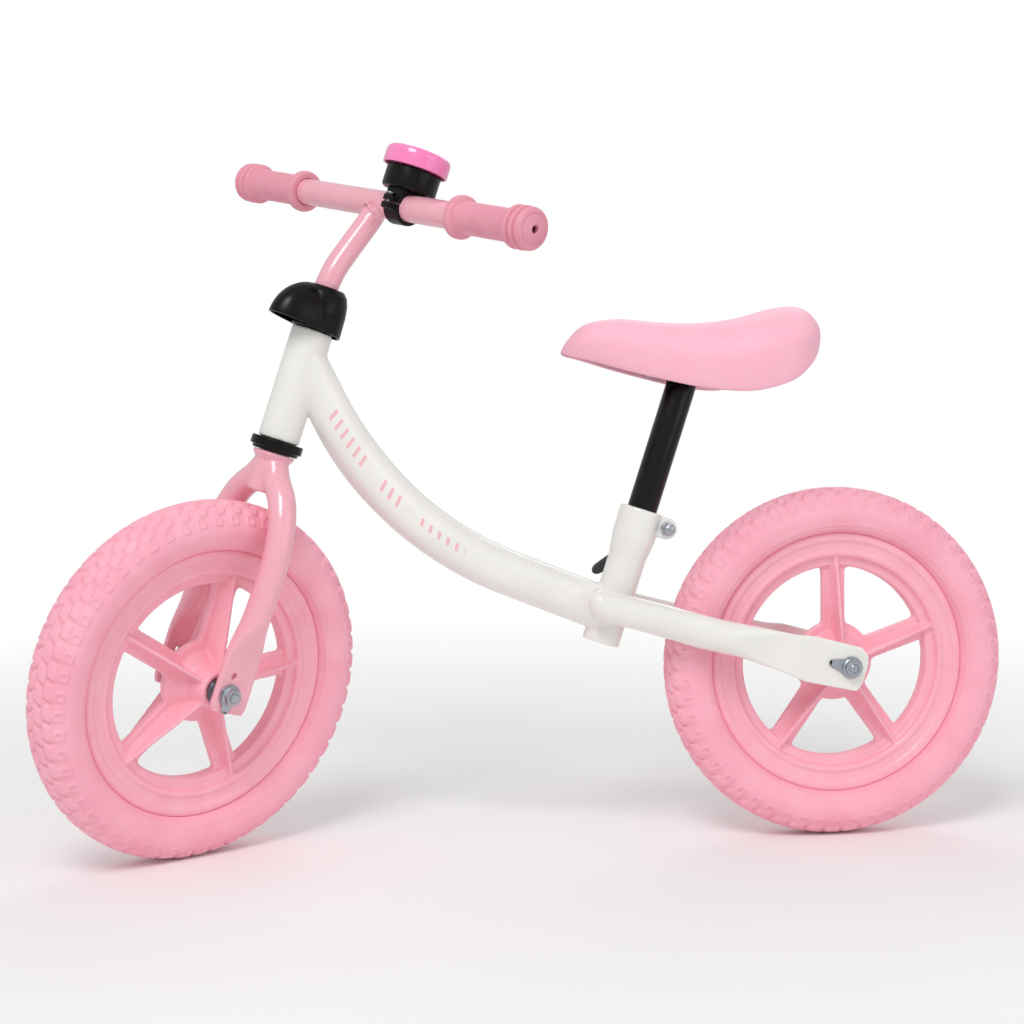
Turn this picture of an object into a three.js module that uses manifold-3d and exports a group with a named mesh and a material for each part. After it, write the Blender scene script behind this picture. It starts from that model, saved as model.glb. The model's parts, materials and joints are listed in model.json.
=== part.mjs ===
// A child's balance bike: a welded steel frame, a turned fork with a gooseneck handlebar, two foam-tyred
// wheels with five-spoke rims, and a saddle on a clamped post.
// Millimetres. +X is forwards, +Y is the rider's left, +Z is up. The origin is on the ground, under the rear
// axle, where the rear tyre stands. The steering is turned to the left, as the bike stands.
import * as THREE from 'three';
import { ParametricGeometry } from 'three/addons/geometries/ParametricGeometry.js';
import { mergeVertices } from 'three/addons/utils/BufferGeometryUtils.js';
import Module from 'manifold-3d';

const wasm = await Module();
wasm.setup();

// Clearances
const GAP = 0.3; // between two pieces that touch
const SLIDE_GAP = 0.2; // between a tube and the tube that slides in it
const SPIN_GAP = 0.3; // between a turning piece and what it turns on

// Wheels
const WHEEL_RADIUS = 150;
const TYRE_HALF_WIDTH = 23.5;
const TYRE_HEIGHT = 38;
const RIM_HALF_WIDTH = 14.2;
const RIM_BAND = 20; // from the rim's outer edge in to the web
const WEB_BAND = 9.5; // from there in to the spoke windows
const BEAD_HEIGHT = 5;
const WEB_HALF = 4;
const SPOKE_COUNT = 5;
const SPOKE_WIDTH = 20;
const RIB_WIDTH = 4;
const HUB_HALF_WIDTH = 30;
const HUB_RADIUS = 15;
const BEARING_RADIUS = 11;
const BEARING_WIDTH = 7;
const AXLE_RADIUS = 4;
const AXLE_HALF_LENGTH = 54.5;
const REAR_SPOKE_PHASE = 17;
const FRONT_SPOKE_PHASE = 16;
const WASHER = 1.6;
const WASHER_RADIUS = 9.5;
const NUT_HEIGHT = 6;
const NUT_RADIUS = 7.5;

// Steering axis, from the rear axle
const AXIS_X = 538.3;
const AXIS_DROP = 3.3;
const HEAD_ANGLE = 17.8;
const STEER_TURN = 33.93;
const FORK_RAKE = 4.57;

// Fork and head, along the steering axis from the front axle
const TYRE_TO_CROWN = 13;
const CROWN_HEIGHT = 32;
const STEERER_RADIUS = 12.7;
const CROWN_RADIUS = STEERER_RADIUS + 0.7;
const CROWN_FLANGE_RADIUS = STEERER_RADIUS + 4.3;
const CROWN_FLANGE_HEIGHT = 8;
const CUP_HEIGHT = 10.5;
const HEAD_TUBE_LENGTH = 94;
const HEAD_TUBE_WALL = 2;
const STEERER_CLEARANCE = 2.3; // round the steerer in the head tube
const HEAD_TUBE_RADIUS = STEERER_RADIUS + STEERER_CLEARANCE + HEAD_TUBE_WALL;
const CUP_RADIUS = HEAD_TUBE_RADIUS + 4.4;
const UPPER_CUP_RADIUS = HEAD_TUBE_RADIUS + 1.6;
const UPPER_CUP_HEIGHT = 4;
const STEERER_ABOVE_CUP = 20;
const LEG_RADIUS = 11.25;
const LEG_SPREAD = 41;
const LEG_END_THICKNESS = 6;
const LEG_END_WIDTH = 34;
const LEG_BELOW_AXLE = 15;
const LEG_SLOT_WIDTH = 10;

// Hood over the stem clamp
const HOOD_RADIUS = HEAD_TUBE_RADIUS + 5.4;
const HOOD_WALL = 2;
const HOOD_HEIGHT = 38;
const HOOD_SKIRT = 1.5; // how far it reaches down past the head tube's top
const HOOD_REACH = 45;

// Handlebar
const STEM_RADIUS = 10;
const STEM_WALL = 2;
const STEM_IN_STEERER = 62;
const STEM_SETBACK = 26.3;
const BAR_HEIGHT = 80; // of the bar's centre above the hood's top
const BAR_RADIUS = 11.1;
const BAR_WALL = 2;
const BAR_HALF_LENGTH = 184;
const GRIP_END = 189.4;
const GRIP_LENGTH = 89.7;
const GRIP_RADIUS = 13;
const GRIP_FLANGE_RADIUS = 17.5;
const GRIP_FLANGE_WIDTH = 8;
const GRIP_BULB_RADIUS = 17.2;
const GRIP_BULB_LENGTH = 22;

// Bell
const BELL_OFFSET = 31;
const BELL_CLAMP_WIDTH = 15;
const BELL_CLAMP_WALL = 3.2;
const BELL_BASE_RADIUS = 22.5;
const BELL_BASE_HEIGHT = 18;
const BELL_SCREW_OUT = BAR_RADIUS + 5.8; // from the bar's middle, in front of it
const BELL_CAP_RADIUS = 27;
const BELL_CAP_HEIGHT = 16;

// Frame tubes
const MAIN_TUBE_RADIUS = 19;
const MAIN_TUBE_WALL = 1.5;
const MAIN_TUBE_BEND = 284;
const MAIN_TUBE_LOW_SLOPE = 21.57;
const MAIN_TUBE_HIGH_SLOPE = 65.1;
const MAIN_TUBE_BELOW_HEAD_TOP = 23;
const MAIN_TUBE_ON_SEAT_TUBE = 27.3;
const SEAT_FOOT_X = WHEEL_RADIUS + 56.2; // ahead of the rear axle, clear of the tyre
const SEAT_FOOT_Z = 20.3; // above the rear axle
const SEAT_ANGLE = 17.7;
const SEAT_TUBE_RADIUS = 15.9;
const SEAT_TUBE_LENGTH = 118;
const STAY_RADIUS = 13.2;
const STAY_WALL = 1.5;
const STAY_ON_SEAT_TUBE = 32.2;
const STAY_FRONT_OVERHANG = 25;
const STAY_SPREAD = 43;
const STAY_END_THICKNESS = 5;
const STAY_END_WIDTH = 39;
const STAY_BEHIND_AXLE = 11;

// Seat post, clamp and saddle
const POST_RADIUS = 12.7;
const POST_WALL = 1.6;
const POST_BOTTOM = 15;
const POST_TOP = 222;
const COLLAR_RADIUS = 18;
const COLLAR_HEIGHT = 29;
const EAR_OFFSET = 23;
const EAR_HALF_GAP = 2.5;
const EAR_THICKNESS = 8;
const EAR_HEIGHT = 19;
const EAR_LENGTH = 15;
const SKEWER_RADIUS = 2.5;
const LEVER_LENGTH = 68;
const LEVER_HALF_WIDTH = 4.8;
const LEVER_TILT = 53; // below the square to the seat tube
const SADDLE_BASE_THICKNESS = 5;
const SADDLE_HOLLOW = 15; // depth of the hollow under the cover
const SADDLE_BASE_RISE = 11.7; // from the cover's lower edge up to the middle of the base
const PLATE_LENGTH = 66;
const PLATE_WIDTH = 44;
const PLATE_THICKNESS = 2.5;
const PLATE_TILT = 9.6;
const PLATE_TOP = 13.3; // above the seat's reference point, in the saddle's hollow
const SCREW_RADIUS = 2.4;

// Facets
const ROUND = 20;
const SMALL = 14; // facets round a small fitting
const WHEEL_FACETS = 40;
const TAU = 2 * Math.PI;
const radians = THREE.MathUtils.degToRad;

// ---- Colours ----
function paint(color, roughness, metalness = 0) {
  return new THREE.MeshStandardMaterial({ color, roughness, metalness });
}


const pearl = () => paint('#efede6', 0.3);
const pinkPaint = () => paint('#f6b4c4', 0.28);
const pinkPlastic = () => paint('#f79fb4', 0.4);
const foam = () => paint('#f7a3b8', 0.7);
const gripRubber = () => paint('#e295a7', 0.6);
const saddleSkin = () => paint('#fbbccb', 0.5);
const hotPink = () => paint('#ff7dbb', 0.2);
const blackPlastic = () => paint('#121214', 0.35);
const blackPaint = () => paint('#0d0d0f', 0.25);
const leverPlastic = () => paint('#2c2a2e', 0.5);
const zinc = () => paint('#c9ccd0', 0.35, 0.9);

// ---- Geometry helpers ----

// The same geometry with its faces pointing out.
function outward(geometry) {
  const flat = geometry.index ? geometry.toNonIndexed() : geometry;
  const place = flat.attributes.position;
  const [a, b, c] = [new THREE.Vector3(), new THREE.Vector3(), new THREE.Vector3()];
  let volume = 0;
  for (let i = 0; i < place.count; i += 3) {
    a.fromBufferAttribute(place, i);
    b.fromBufferAttribute(place, i + 1);
    c.fromBufferAttribute(place, i + 2);
    volume += a.dot(b.cross(c));
  }
  if (volume > 0) return bare(flat);
  for (let i = 0; i < place.count; i += 3) {
    b.fromBufferAttribute(place, i + 1);
    c.fromBufferAttribute(place, i + 2);
    place.setXYZ(i + 1, c.x, c.y, c.z);
    place.setXYZ(i + 2, b.x, b.y, b.z);
  }
  return bare(flat);
}

// Positions only, with shared corners merged.
function bare(geometry) {
  const copy = geometry.clone();
  copy.deleteAttribute('normal');
  copy.deleteAttribute('uv');
  return mergeVertices(copy, 1e-4);
}

function toSolid(geometry) {
  const vertProperties = geometry.attributes.position.array;
  const triVerts = new Uint32Array(geometry.index.array);
  return new wasm.Manifold(new wasm.Mesh({ numProp: 3, vertProperties, triVerts }));
}

function fromSolid(solid) {
  const { vertProperties, triVerts, numProp } = solid.getMesh();
  const geometry = new THREE.BufferGeometry();
  const place = new Float32Array((vertProperties.length / numProp) * 3);
  for (let i = 0; i < place.length / 3; i += 1) {
    for (let axis = 0; axis < 3; axis += 1) place[3 * i + axis] = vertProperties[numProp * i + axis];
  }
  geometry.setAttribute('position', new THREE.BufferAttribute(place, 3));
  geometry.setIndex(new THREE.BufferAttribute(new Uint32Array(triVerts), 1));
  return geometry;
}

function joined(first, ...rest) {
  return fromSolid(rest.reduce((sum, next) => sum.add(toSolid(next)), toSolid(first)));
}

function cutBy(body, ...tools) {
  return fromSolid(tools.reduce((left, next) => left.subtract(toSolid(next)), toSolid(body)));
}

// A body turned about local Z from [radius, height] points. A profile off the axis closes on itself.
function turned(profile, facets = ROUND) {
  const points = profile.map(([radius, height]) => new THREE.Vector2(radius, height));
  if (points[0].x > 0) points.push(points[0].clone());
  return outward(new THREE.LatheGeometry(points, facets).rotateX(Math.PI / 2));
}

const ring = (outer, inner, low, high, facets) =>
  turned([[inner, low], [outer, low], [outer, high], [inner, high]], facets);
const disc = (radius, low, high, facets) =>
  turned([[0, low], [radius, low], [radius, high], [0, high]], facets);
const box = (low, high) => {
  const size = high.map((value, axis) => value - low[axis]);
  const middle = high.map((value, axis) => (value + low[axis]) / 2);
  return outward(new THREE.BoxGeometry(...size).translate(...middle));
};

// Turns a body made about Z so that it stands about Y, its top to the left.
const aboutY = (geometry) => geometry.rotateX(-Math.PI / 2);

// A round tube along a curve, solid where bore is 0.
function swept(curve, radius, bore, steps, sides = 24) {
  const section = new THREE.Shape().absarc(0, 0, radius, 0, TAU);
  if (bore > 0) section.holes.push(new THREE.Path().absarc(0, 0, bore, 0, TAU, true));
  const options = { extrudePath: curve, steps, curveSegments: sides / 2 };
  return outward(new THREE.ExtrudeGeometry(section, options));
}

// A skin through closed sections, with a flat face at each end. pointAt(t, angle) and middleAt(t) give
// Vector3s.
function lofted(pointAt, middleAt, steps, sides) {
  const rows = steps + 2;
  const skin = (around, along, target) => {
    const row = Math.round(along * rows);
    const t = THREE.MathUtils.clamp((row - 1) / steps, 0, 1);
    const end = row === 0 || row === rows;
    target.copy(end ? middleAt(t) : pointAt(t, (around % 1) * TAU));
  };
  return outward(new ParametricGeometry(skin, sides, rows));
}

// A tube along a curve whose round section flattens from one fraction of its length to another.
// Across lies along the flattened tube's thin way.
function flattenedTube({ curve, radius, across, thin, wide, from, to, steps, sides }) {
  const section = (t) => {
    const middle = curve.getPointAt(t);
    const tangent = curve.getTangentAt(t);
    const side = across.clone().addScaledVector(tangent, -across.dot(tangent)).normalize();
    const up = new THREE.Vector3().crossVectors(tangent, side);
    const flat = THREE.MathUtils.smoothstep(t, from, to);
    const halfThin = THREE.MathUtils.lerp(radius, thin / 2, flat);
    const halfWide = THREE.MathUtils.lerp(radius, wide / 2, flat);
    return { middle, side: side.multiplyScalar(halfThin), up: up.multiplyScalar(halfWide), flat };
  };
  const pointAt = (t, angle) => {
    const { middle, side, up, flat } = section(t);
    const square = 1 - 0.7 * flat; // a flattened tube has nearly square edges
    const bend = (value) => Math.sign(value) * Math.abs(value) ** square;
    return middle.addScaledVector(side, bend(Math.cos(angle))).addScaledVector(up, bend(Math.sin(angle)));
  };
  return lofted(pointAt, (t) => curve.getPointAt(t), steps, sides);
}

// ---- Assembly ----

const bike = new THREE.Group();

function group(parent, x, y, z) {
  const made = new THREE.Group();
  made.position.set(x, y, z);
  parent.add(made);
  return made;
}

function place(parent, name, geometry, material) {
  const mesh = new THREE.Mesh(geometry, material);
  mesh.name = name;
  parent.add(mesh);
  return mesh;
}

const rearAxle = group(bike, 0, 0, WHEEL_RADIUS);
const head = group(rearAxle, AXIS_X, 0, -AXIS_DROP);
head.rotation.y = -radians(HEAD_ANGLE);
const steering = group(head, 0, 0, 0);
steering.rotation.z = radians(STEER_TURN);
const frontAxle = group(steering, FORK_RAKE, 0, 0);
const seat = group(rearAxle, SEAT_FOOT_X, 0, SEAT_FOOT_Z);
seat.rotation.y = -radians(SEAT_ANGLE);

// Heights along the steering axis, above the front axle
const CROWN_BOTTOM = WHEEL_RADIUS + TYRE_TO_CROWN;
const CUP_BOTTOM = CROWN_BOTTOM + CROWN_HEIGHT;
const HEAD_BOTTOM = CUP_BOTTOM + CUP_HEIGHT;
const HEAD_TOP = HEAD_BOTTOM + HEAD_TUBE_LENGTH;
const UPPER_CUP_TOP = HEAD_TOP + UPPER_CUP_HEIGHT;
const STEERER_TOP = UPPER_CUP_TOP + STEERER_ABOVE_CUP;
const HOOD_BOTTOM = HEAD_TOP - HOOD_SKIRT;
const HOOD_TOP = HOOD_BOTTOM + HOOD_HEIGHT;
const BAR_CENTRE = HOOD_TOP + BAR_HEIGHT;
const STEERER_BORE = STEM_RADIUS + SLIDE_GAP;
const BUSH_BORE = STEERER_RADIUS + SPIN_GAP;
const HEAD_BORE = HEAD_TUBE_RADIUS - HEAD_TUBE_WALL;

// ---- Wheels ----

const RIM_RADIUS = WHEEL_RADIUS - TYRE_HEIGHT;
const WEB_RADIUS = RIM_RADIUS - RIM_BAND;
const WINDOW_RADIUS = WEB_RADIUS - WEB_BAND;
const HUB_BORE = BEARING_RADIUS + GAP;

// A foam ring on the rim's bed, with flat facets that stand on the ground.
function tyre() {
  const bead = RIM_RADIUS + BEAD_HEIGHT + GAP;
  const bed = RIM_RADIUS + GAP;
  const half = TYRE_HALF_WIDTH;
  const profile = [
    [bead, 4.4], [bed, 6.4], [bed, RIM_HALF_WIDTH],
    [WHEEL_RADIUS - 0.83 * TYRE_HEIGHT, 0.9 * half],
    [WHEEL_RADIUS - 0.56 * TYRE_HEIGHT, half],
    [WHEEL_RADIUS - 0.3 * TYRE_HEIGHT, 0.92 * half],
    [WHEEL_RADIUS - 0.12 * TYRE_HEIGHT, 0.66 * half],
    [WHEEL_RADIUS, 0.25 * half],
  ];
  const mirrored = profile.map(([radius, side]) => [radius, -side]).reverse();
  const facet = 1 / Math.cos(Math.PI / WHEEL_FACETS);
  const shaped = [...profile, ...mirrored].map(([radius, side]) => [radius * facet, side]);
  const body = turned(shaped, WHEEL_FACETS);
  return aboutY(body).rotateY(Math.PI / WHEEL_FACETS);
}

// The moulded ring that the tyre sits on.
function rimRing() {
  const profile = [
    [WINDOW_RADIUS, WEB_HALF + 3], [WEB_RADIUS - 2, WEB_HALF + 3.5], [WEB_RADIUS, 0.8 * RIM_HALF_WIDTH],
    [WEB_RADIUS + 8, RIM_HALF_WIDTH], [RIM_RADIUS, RIM_HALF_WIDTH], [RIM_RADIUS, 6],
    [RIM_RADIUS + BEAD_HEIGHT, 4],
  ];
  const mirrored = profile.map(([radius, side]) => [radius, -side]).reverse();
  return turned([...profile, ...mirrored], WHEEL_FACETS).rotateZ(Math.PI / WHEEL_FACETS);
}

// One spoke along +X: a flat web with a tall rib that falls from the hub's end to the rim.
function spoke() {
  const end = WINDOW_RADIUS + 2;
  const web = box([HUB_BORE + 2, -SPOKE_WIDTH / 2, -WEB_HALF], [end, SPOKE_WIDTH / 2, WEB_HALF]);
  const outline = new THREE.Shape();
  outline.moveTo(HUB_BORE + 1, -HUB_HALF_WIDTH + 2);
  outline.lineTo(WEB_RADIUS - 2, -0.7 * RIM_HALF_WIDTH);
  outline.lineTo(WEB_RADIUS - 2, 0.7 * RIM_HALF_WIDTH);
  outline.lineTo(HUB_BORE + 1, HUB_HALF_WIDTH - 2);
  const slab = new THREE.ExtrudeGeometry(outline, { depth: RIB_WIDTH, bevelEnabled: false });
  const rib = outward(slab.translate(0, 0, -RIB_WIDTH / 2).rotateX(Math.PI / 2));
  return joined(web, rib);
}

// Rim, spokes and hub as one moulding about Y.
function wheelMoulding(phase) {
  const hub = turned([
    [0, -HUB_HALF_WIDTH], [HUB_RADIUS, -HUB_HALF_WIDTH], [1.6 * HUB_RADIUS, -WEB_HALF],
    [1.6 * HUB_RADIUS, WEB_HALF], [HUB_RADIUS, HUB_HALF_WIDTH], [0, HUB_HALF_WIDTH],
  ]);
  const spokes = [];
  for (let i = 0; i < SPOKE_COUNT; i += 1) {
    spokes.push(spoke().rotateZ(radians(phase) + (i * TAU) / SPOKE_COUNT));
  }
  const seatDepth = HUB_HALF_WIDTH - BEARING_WIDTH - GAP;
  const leftSeat = disc(HUB_BORE, seatDepth, HUB_HALF_WIDTH + 1);
  const rightSeat = disc(HUB_BORE, -HUB_HALF_WIDTH - 1, -seatDepth);
  const bore = disc(HUB_BORE - 2.5, -HUB_HALF_WIDTH, HUB_HALF_WIDTH);
  const moulding = cutBy(joined(rimRing(), hub, ...spokes), leftSeat, rightSeat, bore);
  return moulding.rotateX(Math.PI / 2);
}

// A sealed ball bearing: its outer race stands a little proud of its shield.
function bearing() {
  const half = BEARING_WIDTH / 2;
  const shield = BEARING_RADIUS - 1.5;
  const bore = AXLE_RADIUS + SPIN_GAP;
  return turned([
    [bore, -half], [BEARING_RADIUS, -half], [BEARING_RADIUS, half], [shield, half], [shield, half - 0.5],
    [bore, half - 0.5],
  ], SMALL);
}

function hexFlangeNut() {
  const hex = new THREE.CylinderGeometry(NUT_RADIUS, NUT_RADIUS, NUT_HEIGHT, 6).rotateX(Math.PI / 2);
  const flange = disc(1.13 * NUT_RADIUS, -NUT_HEIGHT / 2, 1.6 - NUT_HEIGHT / 2, SMALL);
  const bore = disc(AXLE_RADIUS + GAP, -NUT_HEIGHT, NUT_HEIGHT, SMALL);
  return cutBy(joined(outward(hex), flange), bore);
}

// A washer whose tab points along +X and turns in towards the frame.
function tabWasher(tabLength) {
  const plate = ring(WASHER_RADIUS, AXLE_RADIUS + GAP, 0, WASHER, SMALL);
  const tab = box([WASHER_RADIUS - 2, -3, 0], [tabLength, 3, WASHER]);
  return joined(plate, tab);
}

// The wheel and its fastenings on one axle. The plate that holds the axle has a middle and a thickness.
function wheelAndAxle(parent, end, phase, plateMiddle, plateThickness, tabAngle, tabLength) {
  place(parent, `${end}_tyre`, tyre(), foam());
  place(parent, `${end}_rim`, wheelMoulding(phase), pinkPlastic());
  const bearingMiddle = HUB_HALF_WIDTH - BEARING_WIDTH / 2;
  const sleeveHalf = bearingMiddle - BEARING_WIDTH / 2 - GAP;
  const innerSleeve = ring(7, AXLE_RADIUS + SPIN_GAP, -sleeveHalf, sleeveHalf, SMALL);
  place(parent, `${end}_hub_sleeve`, aboutY(innerSleeve), zinc());
  place(parent, `${end}_axle`, aboutY(disc(AXLE_RADIUS, -AXLE_HALF_LENGTH, AXLE_HALF_LENGTH, SMALL)), zinc());
  const inside = plateMiddle - plateThickness / 2;
  const outside = plateMiddle + plateThickness / 2;
  for (const [name, side] of [['left', 1], ['right', -1]]) {
    const race = aboutY(bearing()).translate(0, side * bearingMiddle, 0);
    place(parent, `${end}_bearing_${name}`, race, zinc());
    const sleeve = aboutY(ring(7, AXLE_RADIUS + GAP, HUB_HALF_WIDTH + GAP, inside - GAP, SMALL));
    const spacer = side > 0 ? sleeve : sleeve.rotateZ(Math.PI);
    place(parent, `${end}_spacer_${name}`, spacer, zinc());
    const washerFace = outside + GAP;
    const washer = aboutY(tabWasher(tabLength)).rotateY(-radians(tabAngle) * side);
    washer.translate(0, washerFace, 0);
    place(parent, `${end}_washer_${name}`, side > 0 ? washer : mirroredAcross(washer, tabAngle), zinc());
    const nut = aboutY(hexFlangeNut()).translate(0, washerFace + WASHER + GAP + NUT_HEIGHT / 2, 0);
    place(parent, `${end}_nut_${name}`, side > 0 ? nut : nut.rotateZ(Math.PI), zinc());
  }
}

// The same washer on the right side, its tab the same way as on the left.
function mirroredAcross(geometry, tabAngle) {
  geometry.rotateY(-2 * radians(tabAngle));
  return outward(geometry.scale(1, -1, 1));
}

const STAY_TAB_ANGLE = 15;
const FORK_TAB_ANGLE = -90;
wheelAndAxle(rearAxle, 'rear', REAR_SPOKE_PHASE, STAY_SPREAD, STAY_END_THICKNESS, STAY_TAB_ANGLE, 20);
wheelAndAxle(frontAxle, 'front', FRONT_SPOKE_PHASE, LEG_SPREAD, LEG_END_THICKNESS, FORK_TAB_ANGLE, 15);

// ---- Frame ----

const headTubeBody = ring(HEAD_TUBE_RADIUS, HEAD_BORE, HEAD_BOTTOM, HEAD_TOP);
place(head, 'head_tube', headTubeBody, pearl());

// A flanged bush pressed in one end of the head tube. Up is 1 at the top end and -1 at the bottom.
function headsetBush(end, up, flangeRadius, flangeHeight) {
  const sleeve = 14;
  const lip = 1.5;
  const points = [
    [BUSH_BORE, -sleeve], [HEAD_BORE - GAP, -sleeve], [HEAD_BORE - GAP, GAP],
    [flangeRadius - lip, GAP], [flangeRadius, GAP + lip], [flangeRadius, 0.55 * flangeHeight],
    [0.9 * flangeRadius, flangeHeight - GAP], [BUSH_BORE, flangeHeight - GAP],
  ];
  return turned(points.map(([radius, height]) => [radius, end + up * height]));
}

const lowerBush = headsetBush(HEAD_BOTTOM, -1, CUP_RADIUS, CUP_HEIGHT);
const upperBush = headsetBush(HEAD_TOP, 1, UPPER_CUP_RADIUS, UPPER_CUP_HEIGHT);
place(head, 'lower_headset_cup', lowerBush, blackPlastic());
place(head, 'upper_headset_cup', upperBush, blackPlastic());

// A point of the frame's middle plane, from the rear axle.
function onHeadAxis(height) {
  const angle = radians(HEAD_ANGLE);
  return new THREE.Vector3(AXIS_X - height * Math.sin(angle), 0, height * Math.cos(angle) - AXIS_DROP);
}

function onSeatAxis(height) {
  const angle = radians(SEAT_ANGLE);
  return new THREE.Vector3(SEAT_FOOT_X - height * Math.sin(angle), 0, SEAT_FOOT_Z + height * Math.cos(angle));
}

// Straight from the seat tube, one bend, and straight to the head tube.
function mainTubePath() {
  const low = onSeatAxis(MAIN_TUBE_ON_SEAT_TUBE);
  const high = onHeadAxis(HEAD_TOP - MAIN_TUBE_BELOW_HEAD_TOP);
  const lowAngle = radians(MAIN_TUBE_LOW_SLOPE);
  const highAngle = radians(MAIN_TUBE_HIGH_SLOPE);
  const lowWay = new THREE.Vector3(Math.cos(lowAngle), 0, Math.sin(lowAngle));
  const highWay = new THREE.Vector3(Math.cos(highAngle), 0, Math.sin(highAngle));
  const span = high.clone().sub(low);
  const turn = lowWay.x * highWay.z - lowWay.z * highWay.x;
  const lowLeg = (span.x * highWay.z - span.z * highWay.x) / turn;
  const corner = low.clone().addScaledVector(lowWay, lowLeg);
  const tangent = MAIN_TUBE_BEND * Math.tan((highAngle - lowAngle) / 2);
  const centre = corner.clone().addScaledVector(lowWay, -tangent);
  centre.add(new THREE.Vector3(-lowWay.z, 0, lowWay.x).multiplyScalar(MAIN_TUBE_BEND));
  return { low, high, lowWay, highWay, corner, tangent, centre, lowAngle, highAngle };
}

// The bend as a three.js curve in the frame's middle plane.
class Bend extends THREE.Curve {
  constructor(centre, radius, start, end) {
    super();
    Object.assign(this, { centre, radius, start, end });
  }

  getPoint(t, target = new THREE.Vector3()) {
    const angle = THREE.MathUtils.lerp(this.start, this.end, t);
    const x = this.centre.x + this.radius * Math.sin(angle);
    const z = this.centre.z - this.radius * Math.cos(angle);
    return target.set(x, 0, z);
  }
}

function mainTube() {
  const way = mainTubePath();
  const bendStart = way.corner.clone().addScaledVector(way.lowWay, -way.tangent);
  const bendEnd = way.corner.clone().addScaledVector(way.highWay, way.tangent);
  const path = new THREE.CurvePath();
  path.add(new THREE.LineCurve3(way.low, bendStart));
  path.add(new Bend(way.centre, MAIN_TUBE_BEND, way.lowAngle, way.highAngle));
  path.add(new THREE.LineCurve3(bendEnd, way.high));
  const tube = swept(path, MAIN_TUBE_RADIUS, MAIN_TUBE_RADIUS - MAIN_TUBE_WALL, 14, 18);
  const reach = 2 * MAIN_TUBE_RADIUS;
  const headCut = disc(HEAD_TUBE_RADIUS + GAP, HEAD_BOTTOM - reach, HEAD_TOP + reach);
  const ahead = box([GAP, -reach, HEAD_BOTTOM - reach], [2 * reach, reach, HEAD_TOP + reach]);
  const headTool = joined(headCut, ahead).rotateY(-radians(HEAD_ANGLE)).translate(AXIS_X, 0, -AXIS_DROP);
  const seatCut = disc(SEAT_TUBE_RADIUS + GAP, -reach, SEAT_TUBE_LENGTH + reach);
  const behind = box([-2 * reach, -reach, -reach], [-GAP, reach, SEAT_TUBE_LENGTH]);
  const seatTool = joined(seatCut, behind).rotateY(-radians(SEAT_ANGLE));
  seatTool.translate(SEAT_FOOT_X, 0, SEAT_FOOT_Z);
  const trimmed = cutBy(tube, headTool, seatTool);
  return cutBy(trimmed, stayShape(1, GAP), stayShape(-1, GAP));
}

// The curve of a chainstay: beside the seat tube, out past the tyre, and back to the axle.
function stayCurve(side) {
  const start = onSeatAxis(STAY_ON_SEAT_TUBE);
  const beside = SEAT_TUBE_RADIUS + STAY_RADIUS + GAP;
  const rise = start.z / start.x;
  const at = (x, y, drop = 0) => new THREE.Vector3(x, side * y, rise * x - drop);
  const front = start.x + STAY_FRONT_OVERHANG;
  return new THREE.CatmullRomCurve3([
    at(front, beside), at(start.x - 18, beside), at(start.x - 74.8, STAY_SPREAD - 1),
    at(0.4 * start.x, STAY_SPREAD), at(0.1 * start.x, STAY_SPREAD), at(-STAY_BEHIND_AXLE, STAY_SPREAD),
  ]);
}

function stayShape(side, grow = 0) {
  return flattenedTube({
    curve: stayCurve(side),
    radius: STAY_RADIUS + grow,
    across: new THREE.Vector3(0, 1, 0),
    thin: STAY_END_THICKNESS + 2 * grow,
    wide: STAY_END_WIDTH + 2 * grow,
    from: 0.45,
    to: 0.76,
    steps: 14,
    sides: 14,
  });
}

// A stay, hollow as far as its flattened end, with the rear of that end cornered and a hole for the axle.
function chainstay(side) {
  const axleHole = aboutY(disc(AXLE_RADIUS + GAP, 0, 2 * STAY_SPREAD)).rotateZ(side > 0 ? 0 : Math.PI);
  const tabHole = aboutY(disc(2.5, 0, 2 * STAY_SPREAD)).rotateZ(side > 0 ? 0 : Math.PI).translate(15, 0, 3.5);
  const seatTube = disc(SEAT_TUBE_RADIUS + GAP, 0, SEAT_TUBE_LENGTH);
  seatTube.rotateY(-radians(SEAT_ANGLE)).translate(SEAT_FOOT_X, 0, SEAT_FOOT_Z);
  const hollow = new THREE.CatmullRomCurve3(stayCurve(side).getSpacedPoints(20).slice(0, 10));
  const bore = swept(hollow, STAY_RADIUS - STAY_WALL, 0, 6, 10);
  return cutBy(stayShape(side), axleHole, tabHole, seatTube, bore);
}

place(rearAxle, 'main_tube', mainTube(), pearl());
place(rearAxle, 'left_chainstay', chainstay(1), pearl());
place(rearAxle, 'right_chainstay', chainstay(-1), pearl());

// ---- Seat tube, clamp and lever ----

const COLLAR_TOP = SEAT_TUBE_LENGTH - GAP;
const COLLAR_BOTTOM = COLLAR_TOP - COLLAR_HEIGHT;
const SKEWER_HEIGHT = COLLAR_TOP - EAR_HEIGHT / 2;
const EAR_FACE = EAR_HALF_GAP + EAR_THICKNESS;

function seatTube() {
  const tube = ring(SEAT_TUBE_RADIUS, POST_RADIUS + SLIDE_GAP, 0, SEAT_TUBE_LENGTH);
  const slot = box([-2 * SEAT_TUBE_RADIUS, -1.5, COLLAR_BOTTOM + 4], [0, 1.5, SEAT_TUBE_LENGTH + 1]);
  return cutBy(tube, slot);
}

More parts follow.
